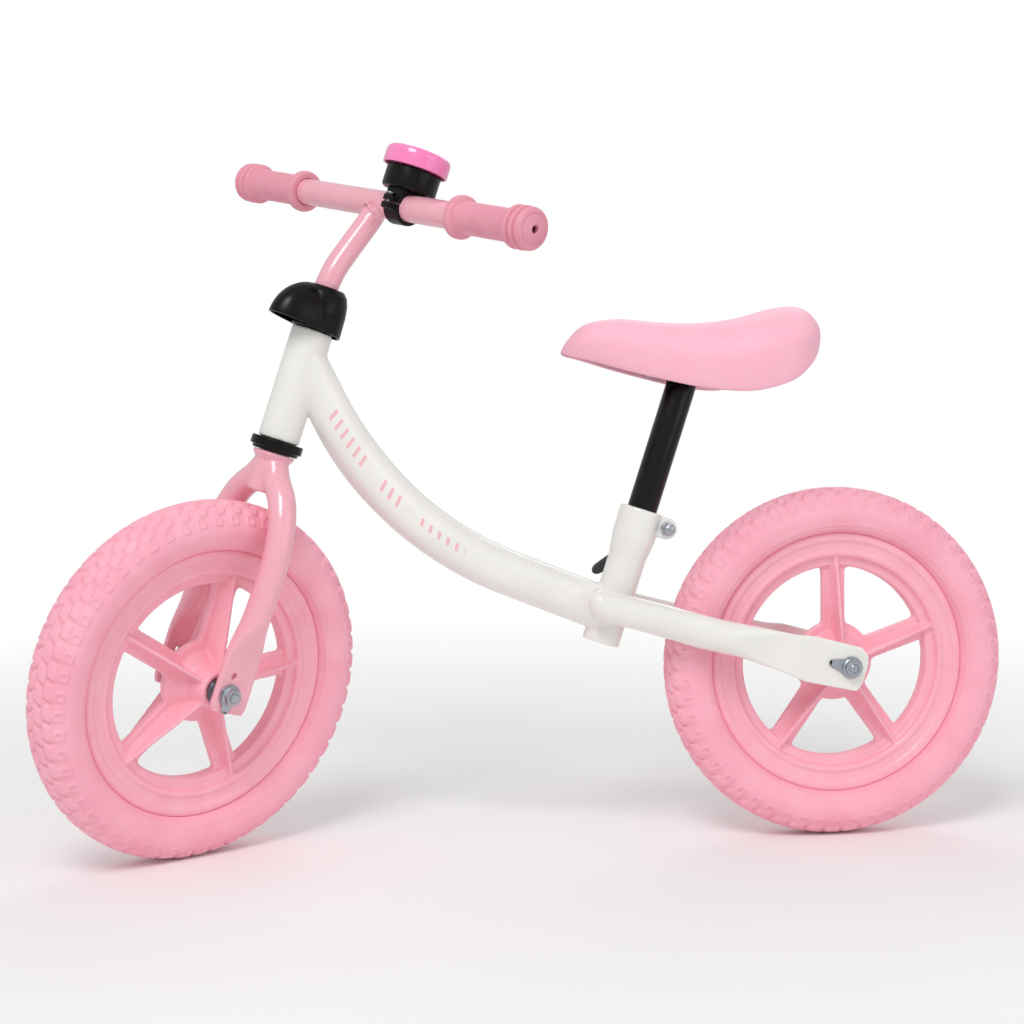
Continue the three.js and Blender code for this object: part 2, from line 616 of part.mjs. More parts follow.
// A split collar with two ears behind it.
function clampCollar() {
  const band = ring(COLLAR_RADIUS, SEAT_TUBE_RADIUS + GAP, COLLAR_BOTTOM, COLLAR_TOP);
  const earEnd = -EAR_OFFSET - EAR_LENGTH / 2;
  const earLow = [earEnd, -EAR_FACE, COLLAR_TOP - EAR_HEIGHT];
  const earBlock = box(earLow, [-SEAT_TUBE_RADIUS, EAR_FACE, COLLAR_TOP]);
  const inside = disc(SEAT_TUBE_RADIUS + GAP, COLLAR_BOTTOM - 1, COLLAR_TOP + 1);
  const split = box([2 * earEnd, -EAR_HALF_GAP, COLLAR_BOTTOM - 1], [0, EAR_HALF_GAP, COLLAR_TOP + 1]);
  const hole = aboutY(disc(SKEWER_RADIUS + GAP, -2 * EAR_FACE, 2 * EAR_FACE));
  hole.translate(-EAR_OFFSET, 0, SKEWER_HEIGHT);
  return cutBy(joined(band, earBlock), inside, split, hole);
}

const CAM_RADIUS = 6.5;
const CAM_WASHER = 3;
const CAM_MIDDLE = EAR_FACE + GAP + CAM_WASHER + GAP + CAM_RADIUS;
const skewer = group(seat, -EAR_OFFSET, 0, SKEWER_HEIGHT);
skewer.rotation.y = radians(LEVER_TILT);

// A domed nut on the skewer's left end.
function acornNut() {
  const low = EAR_FACE + GAP;
  const hex = new THREE.CylinderGeometry(6.2, 6.2, 6, 6).rotateX(Math.PI / 2).translate(0, 0, low + 3);
  const dome = turned([[0, low + 5], [5, low + 5], [5, low + 8], [3.8, low + 10.5], [0, low + 11.5]]);
  const bore = disc(SKEWER_RADIUS + GAP, low - 1, low + 6);
  return aboutY(cutBy(joined(outward(hex), dome), bore));
}

// The skewer ends in a small eye that the cam's pin passes through.
function skewerRod() {
  const rod = aboutY(disc(SKEWER_RADIUS, GAP - CAM_MIDDLE, EAR_FACE + 6));
  const eye = disc(3.6, -2, 2, 16).translate(0, -CAM_MIDDLE, 0);
  const pinHole = disc(1.5 + GAP, -3, 3, 16).translate(0, -CAM_MIDDLE, 0);
  return cutBy(joined(rod, eye), pinHole);
}

// The lever: a fork-shaped cam about its pin, and a paddle that points forwards and down.
function clampLever() {
  const cam = disc(CAM_RADIUS, -6.5, 6.5, 24);
  const slot = box([-2 * CAM_RADIUS, -2 * CAM_RADIUS, -2.9], [1.5 * CAM_RADIUS, 2 * CAM_RADIUS, 2.9]);
  const outline = new THREE.Shape();
  const half = LEVER_HALF_WIDTH;
  const tip = LEVER_LENGTH - half;
  outline.moveTo(0, -half);
  outline.lineTo(0.4 * LEVER_LENGTH, -0.85 * half);
  outline.lineTo(tip, -half);
  outline.absarc(tip, 0, half, -Math.PI / 2, Math.PI / 2);
  outline.lineTo(0.4 * LEVER_LENGTH, 0.85 * half);
  outline.lineTo(0, half);
  const options = { depth: 4.5, bevelEnabled: false, curveSegments: 6 };
  const paddle = new THREE.ExtrudeGeometry(outline, options).rotateX(Math.PI / 2);
  const arm = outward(paddle.translate(0, -1, 0));
  const pinHole = disc(1.5 + GAP, -8, 8, 16);
  return cutBy(joined(cam, arm), slot, pinHole).translate(0, -CAM_MIDDLE, 0);
}

place(seat, 'seat_tube', seatTube(), pearl());
place(seat, 'seat_clamp_collar', clampCollar(), pearl());
place(skewer, 'clamp_skewer', skewerRod(), zinc());
place(skewer, 'clamp_acorn_nut', acornNut(), zinc());
const camWasher = ring(7.5, SKEWER_RADIUS + GAP, EAR_FACE + GAP, EAR_FACE + GAP + CAM_WASHER);
place(skewer, 'clamp_cam_washer', aboutY(camWasher).rotateZ(Math.PI), blackPlastic());
place(skewer, 'clamp_lever', clampLever(), leverPlastic());
place(skewer, 'clamp_lever_pin', disc(1.5, -6.5, 6.5, 16).translate(0, -CAM_MIDDLE, 0), zinc());

// ---- Seat post and saddle ----

const saddle = group(seat, 0, 0, POST_TOP);
saddle.rotation.y = radians(SEAT_ANGLE);

// The saddle's sections from tail to nose, from the seat's reference point:
// [x, lower edge, crown, half width].
const SADDLE_SECTIONS = [
  [-118, 43, 52, 14], [-113, 34, 62, 32], [-101, 21, 71.2, 46.5], [-82, 8.5, 70.5, 55.5],
  [-50, 0.5, 62, 55], [-15, 2.5, 57.5, 44], [20, 9.5, 58, 34], [55, 18, 60.5, 27],
  [82, 25.5, 55.5, 20], [96, 28.5, 42.5, 12], [101, 30.5, 35, 5],
];

function saddleSection(t) {
  const edgePoints = SADDLE_SECTIONS.map(([x, low, high]) => new THREE.Vector3(x, low, high));
  const widthPoints = SADDLE_SECTIONS.map(([x, , , half]) => new THREE.Vector3(x, half, 0));
  const edge = new THREE.CatmullRomCurve3(edgePoints).getPoint(t);
  const half = new THREE.CatmullRomCurve3(widthPoints).getPoint(t).y;
  return { x: edge.x, low: edge.y, high: edge.z, half };
}

// The padded cover: a crowned top whose sides tuck in to a rim round a hollow underside.
function saddleCover() {
  const waist = 0.4;
  const pointAt = (t, angle) => {
    const { x, low, high, half } = saddleSection(t);
    const middle = THREE.MathUtils.lerp(low, high, waist);
    const rise = Math.sin(angle);
    const reach = rise > 0 ? high - middle : middle - low;
    const level = Math.sign(rise) * Math.abs(rise) ** (rise > 0 ? 0.9 : 0.6);
    const across = Math.sign(Math.cos(angle)) * Math.abs(Math.cos(angle)) ** 0.8;
    return new THREE.Vector3(x, half * across, middle + reach * level);
  };
  const middleAt = (t) => {
    const { x, low, high } = saddleSection(t);
    return new THREE.Vector3(x, 0, (low + high) / 2);
  };
  return cutBy(lofted(pointAt, middleAt, 16, 18), underSaddle(0.8, -20, SADDLE_HOLLOW, 0.15, 0.91));
}

// A slab that follows the saddle's lower edge: a share of its width, between two heights above that edge.
function underSaddle(inset, bottom, top, from, to) {
  const at = (t) => saddleSection(THREE.MathUtils.lerp(from, to, t));
  const middle = (bottom + top) / 2;
  const pointAt = (t, angle) => {
    const { x, low, half } = at(t);
    const across = Math.sign(Math.cos(angle)) * Math.abs(Math.cos(angle)) ** 0.2;
    const up = Math.sign(Math.sin(angle)) * Math.abs(Math.sin(angle)) ** 0.2;
    return new THREE.Vector3(x, inset * half * across, low + middle + ((top - bottom) / 2) * up);
  };
  return lofted(pointAt, (t) => new THREE.Vector3(at(t).x, 0, at(t).low + middle), 12, 14);
}

// The moulded base at the top of the hollow.
function saddleBase() {
  const half = SADDLE_BASE_THICKNESS / 2;
  return underSaddle(0.74, SADDLE_BASE_RISE - half, SADDLE_BASE_RISE + half, 0.18, 0.89);
}

// The steel plate on the post's top, in the saddle's hollow, tilted up to the nose.
const plateGroup = group(saddle, 0, 0, PLATE_TOP);
plateGroup.rotation.y = -radians(PLATE_TILT);

const SCREW_PLACES = { front: [1, 0], rear_left: [-1, 1], rear_right: [-1, -1] };

function atScrew(geometry, [forward, left]) {
  return geometry.translate(forward * (PLATE_LENGTH / 2 - 8), left * (PLATE_WIDTH / 2 - 7), 0);
}

function screwHoles() {
  return Object.values(SCREW_PLACES).map((where) => atScrew(disc(SCREW_RADIUS + GAP, -10, 20, 12), where));
}

function saddlePlate() {
  const low = [-PLATE_LENGTH / 2, -PLATE_WIDTH / 2, -PLATE_THICKNESS];
  const plate = box(low, [PLATE_LENGTH / 2, PLATE_WIDTH / 2, 0]);
  return cutBy(plate, ...screwHoles());
}

// One of the pan-headed screws that hold the saddle's base to the plate.
function saddleScrew() {
  const head = -PLATE_THICKNESS - GAP;
  const profile = [
    [0, head - 2.6], [2.6, head - 2.6], [4.4, head - 1.4], [4.4, head], [SCREW_RADIUS, head],
    [SCREW_RADIUS, 4], [0, 4],
  ];
  return turned(profile, 12);
}

// The post, cut off along the plate's underside.
function seatPost() {
  const tube = ring(POST_RADIUS, POST_RADIUS - POST_WALL, POST_BOTTOM, POST_TOP + PLATE_TOP + 12);
  const reach = 4 * POST_RADIUS;
  const above = box([-reach, -reach, -PLATE_THICKNESS - GAP], [reach, reach, reach]);
  above.rotateY(-radians(PLATE_TILT)).translate(0, 0, PLATE_TOP).rotateY(radians(SEAT_ANGLE));
  return cutBy(tube, above.translate(0, 0, POST_TOP));
}

function drilledSaddleBase() {
  const toBase = (hole) => hole.rotateY(-radians(PLATE_TILT)).translate(0, 0, PLATE_TOP);
  return cutBy(saddleBase(), ...screwHoles().map(toBase));
}

place(seat, 'seat_post', seatPost(), blackPaint());
place(plateGroup, 'saddle_plate', saddlePlate(), blackPaint());
for (const [name, where] of Object.entries(SCREW_PLACES)) {
  place(plateGroup, `saddle_screw_${name}`, atScrew(saddleScrew(), where), zinc());
}
place(saddle, 'saddle_base', drilledSaddleBase(), blackPlastic());
place(saddle, 'saddle_cover', saddleCover(), saddleSkin());

// ---- Fork ----

// The crown and the steerer that rises from it, split at the top for the stem clamp.
function steerer() {
  const body = turned([
    [STEERER_BORE, CROWN_BOTTOM], [CROWN_RADIUS, CROWN_BOTTOM],
    [CROWN_RADIUS, CUP_BOTTOM - CROWN_FLANGE_HEIGHT], [CROWN_FLANGE_RADIUS, CUP_BOTTOM - 2.5],
    [CROWN_FLANGE_RADIUS, CUP_BOTTOM - GAP],
    [STEERER_RADIUS, CUP_BOTTOM - GAP], [STEERER_RADIUS, STEERER_TOP], [STEERER_BORE, STEERER_TOP],
  ]);
  const slot = box([0, -1.2, UPPER_CUP_TOP + 2], [2 * STEERER_RADIUS, 1.2, STEERER_TOP + 1]);
  return cutBy(body, slot);
}

// A leg from the crown's side, out round the tyre and down to a flattened, slotted end.
function forkLeg(side) {
  const at = (across, height) => new THREE.Vector3(0, side * across, height);
  const top = at(7, CROWN_BOTTOM + 16);
  const curve = new THREE.CatmullRomCurve3([
    top, at(0.68 * LEG_SPREAD, CROWN_BOTTOM - 3), at(LEG_SPREAD, CROWN_BOTTOM - 33),
    at(LEG_SPREAD + 3, CROWN_BOTTOM - 65), at(LEG_SPREAD + 1.2, 58), at(LEG_SPREAD, 36),
    at(LEG_SPREAD, 10), at(LEG_SPREAD, -LEG_BELOW_AXLE),
  ]);
  const shape = flattenedTube({
    curve,
    radius: LEG_RADIUS,
    across: new THREE.Vector3(0, 1, 0),
    thin: LEG_END_THICKNESS,
    wide: LEG_END_WIDTH,
    from: 0.52,
    to: 0.76,
    steps: 16,
    sides: 14,
  });
  const crown = disc(CROWN_RADIUS + GAP, CROWN_BOTTOM - 20, CUP_BOTTOM);
  const half = LEG_SLOT_WIDTH / 2;
  const slot = box([-half + FORK_RAKE, 0, -2 * LEG_BELOW_AXLE], [half + FORK_RAKE, 2 * LEG_SPREAD, 0]);
  const slotEnd = aboutY(disc(half, 0, 2 * LEG_SPREAD)).translate(FORK_RAKE, 0, 0);
  const tabHole = aboutY(disc(2.5, 0, 2 * LEG_SPREAD, 12)).translate(FORK_RAKE, 0, LEG_BELOW_AXLE);
  const cuts = [slot, slotEnd, tabHole].map((tool) => (side > 0 ? tool : outward(tool.scale(1, -1, 1))));
  return cutBy(shape, crown, ...cuts);
}

place(steering, 'fork_steerer', steerer(), pinkPaint());
place(steering, 'fork_leg_left', forkLeg(1), pinkPaint());
place(steering, 'fork_leg_right', forkLeg(-1), pinkPaint());

// ---- Stem clamp and its hood ----

const CLAMP_LOW = UPPER_CUP_TOP + 1.5;
const CLAMP_HIGH = STEERER_TOP - 4;
const CLAMP_BOLT_OUT = STEERER_RADIUS + 11;
const CLAMP_BOLT_HEIGHT = (CLAMP_LOW + CLAMP_HIGH) / 2;
const CLAMP_EAR = 8;

function stemClamp() {
  const inside = disc(STEERER_RADIUS + GAP, CLAMP_LOW - 1, CLAMP_HIGH + 1);
  const band = disc(STEERER_RADIUS + 3.2, CLAMP_LOW, CLAMP_HIGH);
  const ears = box([STEERER_RADIUS, -CLAMP_EAR, CLAMP_LOW], [CLAMP_BOLT_OUT + 4.5, CLAMP_EAR, CLAMP_HIGH]);
  const split = box([0, -2, CLAMP_LOW - 1], [2 * CLAMP_BOLT_OUT, 2, CLAMP_HIGH + 1]);
  const hole = aboutY(disc(3, -2 * CLAMP_EAR, 2 * CLAMP_EAR, 16));
  return cutBy(joined(band, ears), inside, split, hole.translate(CLAMP_BOLT_OUT, 0, CLAMP_BOLT_HEIGHT));
}

function stemClampBolt() {
  const face = CLAMP_EAR + GAP;
  const profile = [
    [0, -face - 4], [4.3, -face - 4], [4.3, -face], [2.6, -face], [2.6, face + 4], [0, face + 4],
  ];
  return aboutY(turned(profile, 16)).translate(CLAMP_BOLT_OUT, 0, CLAMP_BOLT_HEIGHT);
}

// The plastic hood: a round cap over the head tube's top, swelling forwards over the clamp's bolt.
function hoodShape(inset) {
  const outer = HOOD_RADIUS - inset;
  const top = HOOD_TOP - inset;
  const low = HOOD_BOTTOM - 12;
  const cap = turned([
    [0, low], [outer, low], [outer - 0.6, HOOD_TOP - 16], [outer - 3, HOOD_TOP - 6], [outer - 7, top],
    [0, top],
  ]);
  const domeBack = 10;
  const reach = HOOD_REACH - domeBack - inset;
  const dome = new THREE.SphereGeometry(1, 16, 10).rotateX(Math.PI / 2);
  dome.scale(reach, HOOD_RADIUS - 1.9 - inset, HOOD_HEIGHT - 3.5 - inset);
  return joined(cap, outward(dome).translate(domeBack, 0, HOOD_BOTTOM + 3.5));
}

function hood() {
  const reach = 3 * HOOD_REACH;
  const below = box([-reach, -reach, -reach], [reach, reach, 0]);
  below.rotateY(-radians(4.5)).translate(-HOOD_RADIUS, 0, HOOD_BOTTOM);
  const stemHole = disc(STEM_RADIUS + SLIDE_GAP + 0.2, HOOD_BOTTOM, HOOD_TOP + 1);
  return cutBy(hoodShape(0), hoodShape(HOOD_WALL), below, stemHole);
}

place(steering, 'stem_clamp', stemClamp(), blackPaint());
place(steering, 'stem_clamp_bolt', stemClampBolt(), zinc());
place(steering, 'stem_clamp_hood', hood(), blackPlastic());

// ---- Handlebar ----

// The gooseneck: up out of the steerer and back to the bar.
function stem() {
  const back = (share, height) => new THREE.Vector3(-share * STEM_SETBACK, 0, height);
  const bendStart = back(0, HOOD_TOP + 2);
  const neck = new THREE.CatmullRomCurve3([
    bendStart, back(0.12, HOOD_TOP + 0.21 * BAR_HEIGHT), back(0.46, HOOD_TOP + 0.5 * BAR_HEIGHT),
    back(0.83, HOOD_TOP + 0.8 * BAR_HEIGHT), back(1, BAR_CENTRE),
  ]);
  const curve = new THREE.CurvePath();
  curve.add(new THREE.LineCurve3(back(0, STEERER_TOP - STEM_IN_STEERER), bendStart));
  curve.add(neck);
  const barHole = aboutY(disc(BAR_RADIUS + GAP, -3 * BAR_RADIUS, 3 * BAR_RADIUS));
  const tube = swept(curve, STEM_RADIUS, STEM_RADIUS - STEM_WALL, 12, 14);
  return cutBy(tube, barHole.translate(-STEM_SETBACK, 0, BAR_CENTRE));
}

// A grip from its inner flange to its ribbed, domed end, with a small hole in the end.
function grip() {
  const start = GRIP_END - GRIP_LENGTH;
  const bore = BAR_RADIUS + GAP;
  const bulb = GRIP_END - GRIP_BULB_LENGTH;
  const rib = GRIP_BULB_LENGTH / 4.4;
  const profile = [
    [bore, start], [GRIP_FLANGE_RADIUS - 1.5, start], [GRIP_FLANGE_RADIUS, start + 1.5],
    [GRIP_FLANGE_RADIUS, start + GRIP_FLANGE_WIDTH - 1.5], [GRIP_RADIUS + 1, start + GRIP_FLANGE_WIDTH],
    [GRIP_RADIUS, start + GRIP_FLANGE_WIDTH + 2], [GRIP_RADIUS, bulb - 1],
  ];
  for (let i = 0; i < 3; i += 1) {
    const from = bulb + i * 1.3 * rib;
    profile.push([GRIP_BULB_RADIUS - 1.6, from], [GRIP_BULB_RADIUS, from + 0.4 * rib]);
    profile.push([GRIP_BULB_RADIUS, from + rib]);
  }
  profile.push([GRIP_BULB_RADIUS - 4, GRIP_END - 0.8], [2, GRIP_END], [2, BAR_HALF_LENGTH + GAP]);
  profile.push([bore, BAR_HALF_LENGTH + GAP]);
  return turned(profile, SMALL);
}

const bar = group(steering, -STEM_SETBACK, 0, BAR_CENTRE);
place(steering, 'handlebar_stem', stem(), pinkPaint());
const barTube = ring(BAR_RADIUS, BAR_RADIUS - BAR_WALL, -BAR_HALF_LENGTH, BAR_HALF_LENGTH);
place(bar, 'handlebar', aboutY(barTube), pinkPaint());
place(bar, 'left_grip', aboutY(grip()), gripRubber());
place(bar, 'right_grip', aboutY(grip()).rotateZ(Math.PI), gripRubber());

// ---- Bell ----

const bell = group(bar, 0, BELL_OFFSET, 0);
const BELL_FLOOR = BAR_RADIUS + 1.5;
const BELL_RIM = BELL_FLOOR + BELL_BASE_HEIGHT;
const BELL_CAP_LOW = BELL_RIM + 0.6;
const GONG_HEIGHT = BELL_RIM + 2;

// The base cup with its post, on a split clamp round the bar whose ears are in front.
function bellBase() {
  const wall = 2;
  const cup = turned([
    [0, BELL_FLOOR], [BELL_BASE_RADIUS - 1.5, BELL_FLOOR], [BELL_BASE_RADIUS, BELL_FLOOR + 1.5],
    [BELL_BASE_RADIUS, BELL_RIM], [BELL_BASE_RADIUS - wall, BELL_RIM],
    [BELL_BASE_RADIUS - wall, BELL_FLOOR + 8], [4, BELL_FLOOR + 8], [4, GONG_HEIGHT - GAP],
    [0, GONG_HEIGHT - GAP],
  ], 18);
  const half = BELL_CLAMP_WIDTH / 2;
  const band = aboutY(disc(BAR_RADIUS + BELL_CLAMP_WALL, -half, half));
  const ears = box([0, -half + 2, -6], [BELL_SCREW_OUT + 3, half - 2, 6]);
  const split = box([0, -half - 1, -1], [BELL_SCREW_OUT + 4, half + 1, 1]);
  const barHole = aboutY(disc(BAR_RADIUS + GAP, -2 * BELL_BASE_RADIUS, 2 * BELL_BASE_RADIUS));
  const screwHole = disc(2, -8, 8, 12).translate(BELL_SCREW_OUT, 0, 0);
  return cutBy(joined(cup, band, ears), split, barHole, screwHole);
}

function bellScrew() {
  const profile = [[0, -5.8], [1.6, -5.8], [1.6, 6.3], [3, 6.3], [3, 7.4], [2, 8.2], [0, 8.2]];
  return turned(profile, 12).translate(BELL_SCREW_OUT, 0, 0);
}

function bellGong() {
  return turned([
    [0, GONG_HEIGHT], [8, GONG_HEIGHT], [18.5, GONG_HEIGHT - 3.5], [19.5, GONG_HEIGHT - 3.5],
    [9, GONG_HEIGHT + 1.2], [0, GONG_HEIGHT + 1.2],
  ]);
}

// The cap that twists on the base to ring the bell.
function bellCap() {
  const high = BELL_CAP_LOW + BELL_CAP_HEIGHT;
  const wall = 1.8;
  return turned([
    [0, high - wall], [BELL_CAP_RADIUS - 4.5, high - wall], [BELL_CAP_RADIUS - wall, high - 5],
    [BELL_CAP_RADIUS - wall, BELL_CAP_LOW], [BELL_CAP_RADIUS, BELL_CAP_LOW], [BELL_CAP_RADIUS, high - 4.5],
    [BELL_CAP_RADIUS - 1.5, high - 1.5], [BELL_CAP_RADIUS - 5, high], [0, high],
  ]);
}

function bellStriker() {
  const high = BELL_CAP_LOW + BELL_CAP_HEIGHT - 1.8 - GAP;
  return box([20, -3, BELL_RIM + 0.6], [22, 3, high]);
}

place(bell, 'bell_base', bellBase(), blackPlastic());
place(bell, 'bell_clamp_screw', bellScrew(), zinc());
place(bell, 'bell_gong', bellGong(), zinc());
place(bell, 'bell_cap', bellCap(), hotPink());
place(bell, 'bell_striker', bellStriker(), zinc());

export default bike;
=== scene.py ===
"""The balance bike's visible surfaces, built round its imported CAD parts. Lengths in the helpers are in mm."""

import json
import math

import bmesh
import bpy
import numpy as np
from mathutils import Matrix, Vector


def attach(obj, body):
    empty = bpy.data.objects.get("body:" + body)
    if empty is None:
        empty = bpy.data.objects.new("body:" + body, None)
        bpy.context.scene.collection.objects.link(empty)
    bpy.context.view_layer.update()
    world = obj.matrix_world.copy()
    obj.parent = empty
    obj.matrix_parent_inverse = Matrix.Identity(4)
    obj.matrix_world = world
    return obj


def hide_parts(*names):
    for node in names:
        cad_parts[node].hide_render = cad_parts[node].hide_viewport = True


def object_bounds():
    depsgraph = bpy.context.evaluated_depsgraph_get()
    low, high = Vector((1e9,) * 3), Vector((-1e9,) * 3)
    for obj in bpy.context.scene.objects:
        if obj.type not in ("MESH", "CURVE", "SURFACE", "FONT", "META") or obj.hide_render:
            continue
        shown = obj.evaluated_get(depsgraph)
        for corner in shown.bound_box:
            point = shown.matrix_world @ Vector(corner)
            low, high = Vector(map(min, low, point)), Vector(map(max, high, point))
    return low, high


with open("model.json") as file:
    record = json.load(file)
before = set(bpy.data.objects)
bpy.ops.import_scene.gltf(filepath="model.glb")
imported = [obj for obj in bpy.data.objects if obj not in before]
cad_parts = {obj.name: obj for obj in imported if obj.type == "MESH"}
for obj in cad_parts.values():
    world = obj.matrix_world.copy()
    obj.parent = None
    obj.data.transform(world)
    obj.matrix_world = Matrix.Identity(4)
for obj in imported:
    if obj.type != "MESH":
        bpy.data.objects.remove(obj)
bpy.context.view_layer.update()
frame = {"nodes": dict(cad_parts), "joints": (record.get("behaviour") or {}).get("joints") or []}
MM = 0.001
JOINTS = {joint["name"]: joint for joint in frame["joints"]}

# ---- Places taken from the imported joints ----


def basis(x, y, z, origin):
    made = Matrix((x, y, z)).transposed().to_4x4()
    made.translation = origin
    return made


def joint_place(name):
    return Vector(JOINTS[name]["pos_m"]) / MM


LEFT = Vector((0, 1, 0))
HEAD_AXIS = Vector(JOINTS["steer"]["axis"])
FORK_LEFT = Vector(JOINTS["front_wheel_spin"]["axis"])
FORK_AHEAD = FORK_LEFT.cross(HEAD_AXIS)
SEAT_AXIS = Vector(JOINTS["seat_height"]["axis"])
REAR = Matrix.Translation(joint_place("rear_wheel_spin"))
HEAD = basis(LEFT.cross(HEAD_AXIS), LEFT, HEAD_AXIS, joint_place("steer"))
STEERING = basis(FORK_AHEAD, FORK_LEFT, HEAD_AXIS, joint_place("steer"))
FRONT = basis(FORK_AHEAD, FORK_LEFT, HEAD_AXIS, joint_place("front_wheel_spin"))
BELL = basis(FORK_AHEAD, FORK_LEFT, HEAD_AXIS, joint_place("bell_twist"))
BAR_SETBACK = 26.3
BAR_HEIGHT = 416  # along the steering axis, above the front axle
SEAT_FOOT = Vector((206.2, 0, 170.3))
SKEWER_SETBACK = 23
SKEWER_HEIGHT = 108.2
BAR = STEERING @ Matrix.Translation((-BAR_SETBACK, 0, BAR_HEIGHT))
SEAT = basis(LEFT.cross(SEAT_AXIS), LEFT, SEAT_AXIS, SEAT_FOOT)
SKEWER = SEAT @ Matrix.Translation((-SKEWER_SETBACK, 0, SKEWER_HEIGHT))
LEVER_AXIS = -Vector(JOINTS["clamp_lever_open"]["axis"])
LEVER = basis(LEFT.cross(LEVER_AXIS), LEFT, LEVER_AXIS, joint_place("clamp_lever_open"))
SADDLE = Matrix.Translation((138.705, 0, 381.791))
PLATE_TOP = 13.3  # above the saddle's own origin
PLATE_TILT = math.radians(-9.6)
PLATE = SADDLE @ Matrix.Translation((0, 0, PLATE_TOP)) @ Matrix.Rotation(PLATE_TILT, 4, "Y")
ABOUT_Y = Matrix.Rotation(math.radians(-90), 4, "X")
RIGHT_SIDE = Matrix.Rotation(math.pi, 4, "Z")
SIDES = (("left", Matrix.Identity(4)), ("right", RIGHT_SIDE))
TYRE_RADIUS = 150

# ---- Materials ----


def linear(colour):
    return [(c / 12.92 if c <= 0.04045 else ((c + 0.055) / 1.055) ** 2.4) for c in colour] + [1]


def shader(name, roughness, metallic=0.0, coat=0.0, sheen=0.0, subsurface=0.0, specular=0.5):
    made = bpy.data.materials.new(name)
    made.use_nodes = True
    tree = made.node_tree
    surface = tree.nodes["Principled BSDF"]
    surface.inputs["Roughness"].default_value = roughness
    surface.inputs["Metallic"].default_value = metallic
    surface.inputs["Coat Weight"].default_value = coat
    surface.inputs["Coat Roughness"].default_value = 0.06
    surface.inputs["Sheen Weight"].default_value = sheen
    surface.inputs["Sheen Roughness"].default_value = 0.4
    surface.inputs["Subsurface Weight"].default_value = subsurface
    surface.inputs["Subsurface Scale"].default_value = 0.002
    surface.inputs["Specular IOR Level"].default_value = specular
    return made, tree, surface


def texture(tree, kind, scale, detail=3.0):
    where = tree.nodes.new("ShaderNodeTexCoord")
    made = tree.nodes.new(kind)
    made.inputs["Scale"].default_value = scale
    if "Detail" in made.inputs:
        made.inputs["Detail"].default_value = detail
    tree.links.new(where.outputs["Object"], made.inputs["Vector"])
    return made


def spread(tree, value, low, high, start=0.3, end=0.7):
    made = tree.nodes.new("ShaderNodeMapRange")
    made.inputs["From Min"].default_value = start
    made.inputs["From Max"].default_value = end
    made.inputs["To Min"].default_value = low
    made.inputs["To Max"].default_value = high
    tree.links.new(value, made.inputs["Value"])
    return made.outputs["Result"]


def blended(tree, share, first, second):
    made = tree.nodes.new("ShaderNodeMix")
    made.data_type = "RGBA"
    tree.links.new(share, made.inputs["Factor"])
    for socket, value in ((made.inputs[6], first), (made.inputs[7], second)):
        if isinstance(value, list):
            socket.default_value = value
        else:
            tree.links.new(value, socket)
    return made.outputs[2]


def bumped(tree, surface, height, strength, distance, below=None):
    made = tree.nodes.new("ShaderNodeBump")
    made.inputs["Strength"].default_value = strength
    made.inputs["Distance"].default_value = distance
    tree.links.new(height, made.inputs["Height"])
    if below is not None:
        tree.links.new(below, made.inputs["Normal"])
    tree.links.new(made.outputs["Normal"], surface.inputs["Normal"])
    return made.outputs["Normal"]


def worn(tree, colour, edge_colour, amount):
    """The colour, paler along sharp edges where hands and knocks rub it."""
    geometry = tree.nodes.new("ShaderNodeNewGeometry")
    edge = spread(tree, geometry.outputs["Pointiness"], 0, amount, 0.52, 0.62)
    return blended(tree, edge, colour, edge_colour)


def paint(name, colour, shade, roughness, decal=None, coat=0.6, specular=0.5):
    """Glossy paint on steel: slight colour drift, orange peel and a clear coat."""
    made, tree, surface = shader(name, roughness, coat=coat, specular=specular)
    drift = texture(tree, "ShaderNodeTexNoise", 22)
    tone = blended(tree, spread(tree, drift.outputs["Fac"], 0, 1), linear(colour), linear(shade))
    if decal is not None:
        tone = blended(tree, decal(tree), tone, linear((0.97, 0.74, 0.77)))
    tree.links.new(tone, surface.inputs["Base Color"])
    patches = texture(tree, "ShaderNodeTexNoise", 60)
    rough = spread(tree, patches.outputs["Fac"], roughness - 0.05, roughness + 0.07)
    tree.links.new(rough, surface.inputs["Roughness"])
    peel = texture(tree, "ShaderNodeTexNoise", 420, 1.0)
    fine = bumped(tree, surface, peel.outputs["Fac"], 0.05, 0.0004)
    flake = texture(tree, "ShaderNodeTexVoronoi", 2600)
    bumped(tree, surface, flake.outputs["Distance"], 0.03, 0.0001, fine)
    return made


def plastic(name, colour, shade, roughness, grain, grain_strength, **surface_settings):
    """Moulded plastic: flow marks in its colour, a fine mould texture and uneven gloss."""
    made, tree, surface = shader(name, roughness, **surface_settings)
    flow = texture(tree, "ShaderNodeTexNoise", 30, 2.0)
    flow.inputs["Distortion"].default_value = 1.5
    tone = blended(tree, spread(tree, flow.outputs["Fac"], 0, 1), linear(colour), linear(shade))
    edge = linear([min(1, c + 0.03) for c in colour])
    tree.links.new(worn(tree, tone, edge, 0.5), surface.inputs["Base Color"])
    rough = spread(tree, flow.outputs["Fac"], roughness - 0.05, roughness + 0.08)
    tree.links.new(rough, surface.inputs["Roughness"])
    skin = texture(tree, "ShaderNodeTexNoise", grain, 2.0)
    bumped(tree, surface, skin.outputs["Fac"], grain_strength, 0.0003)
    return made


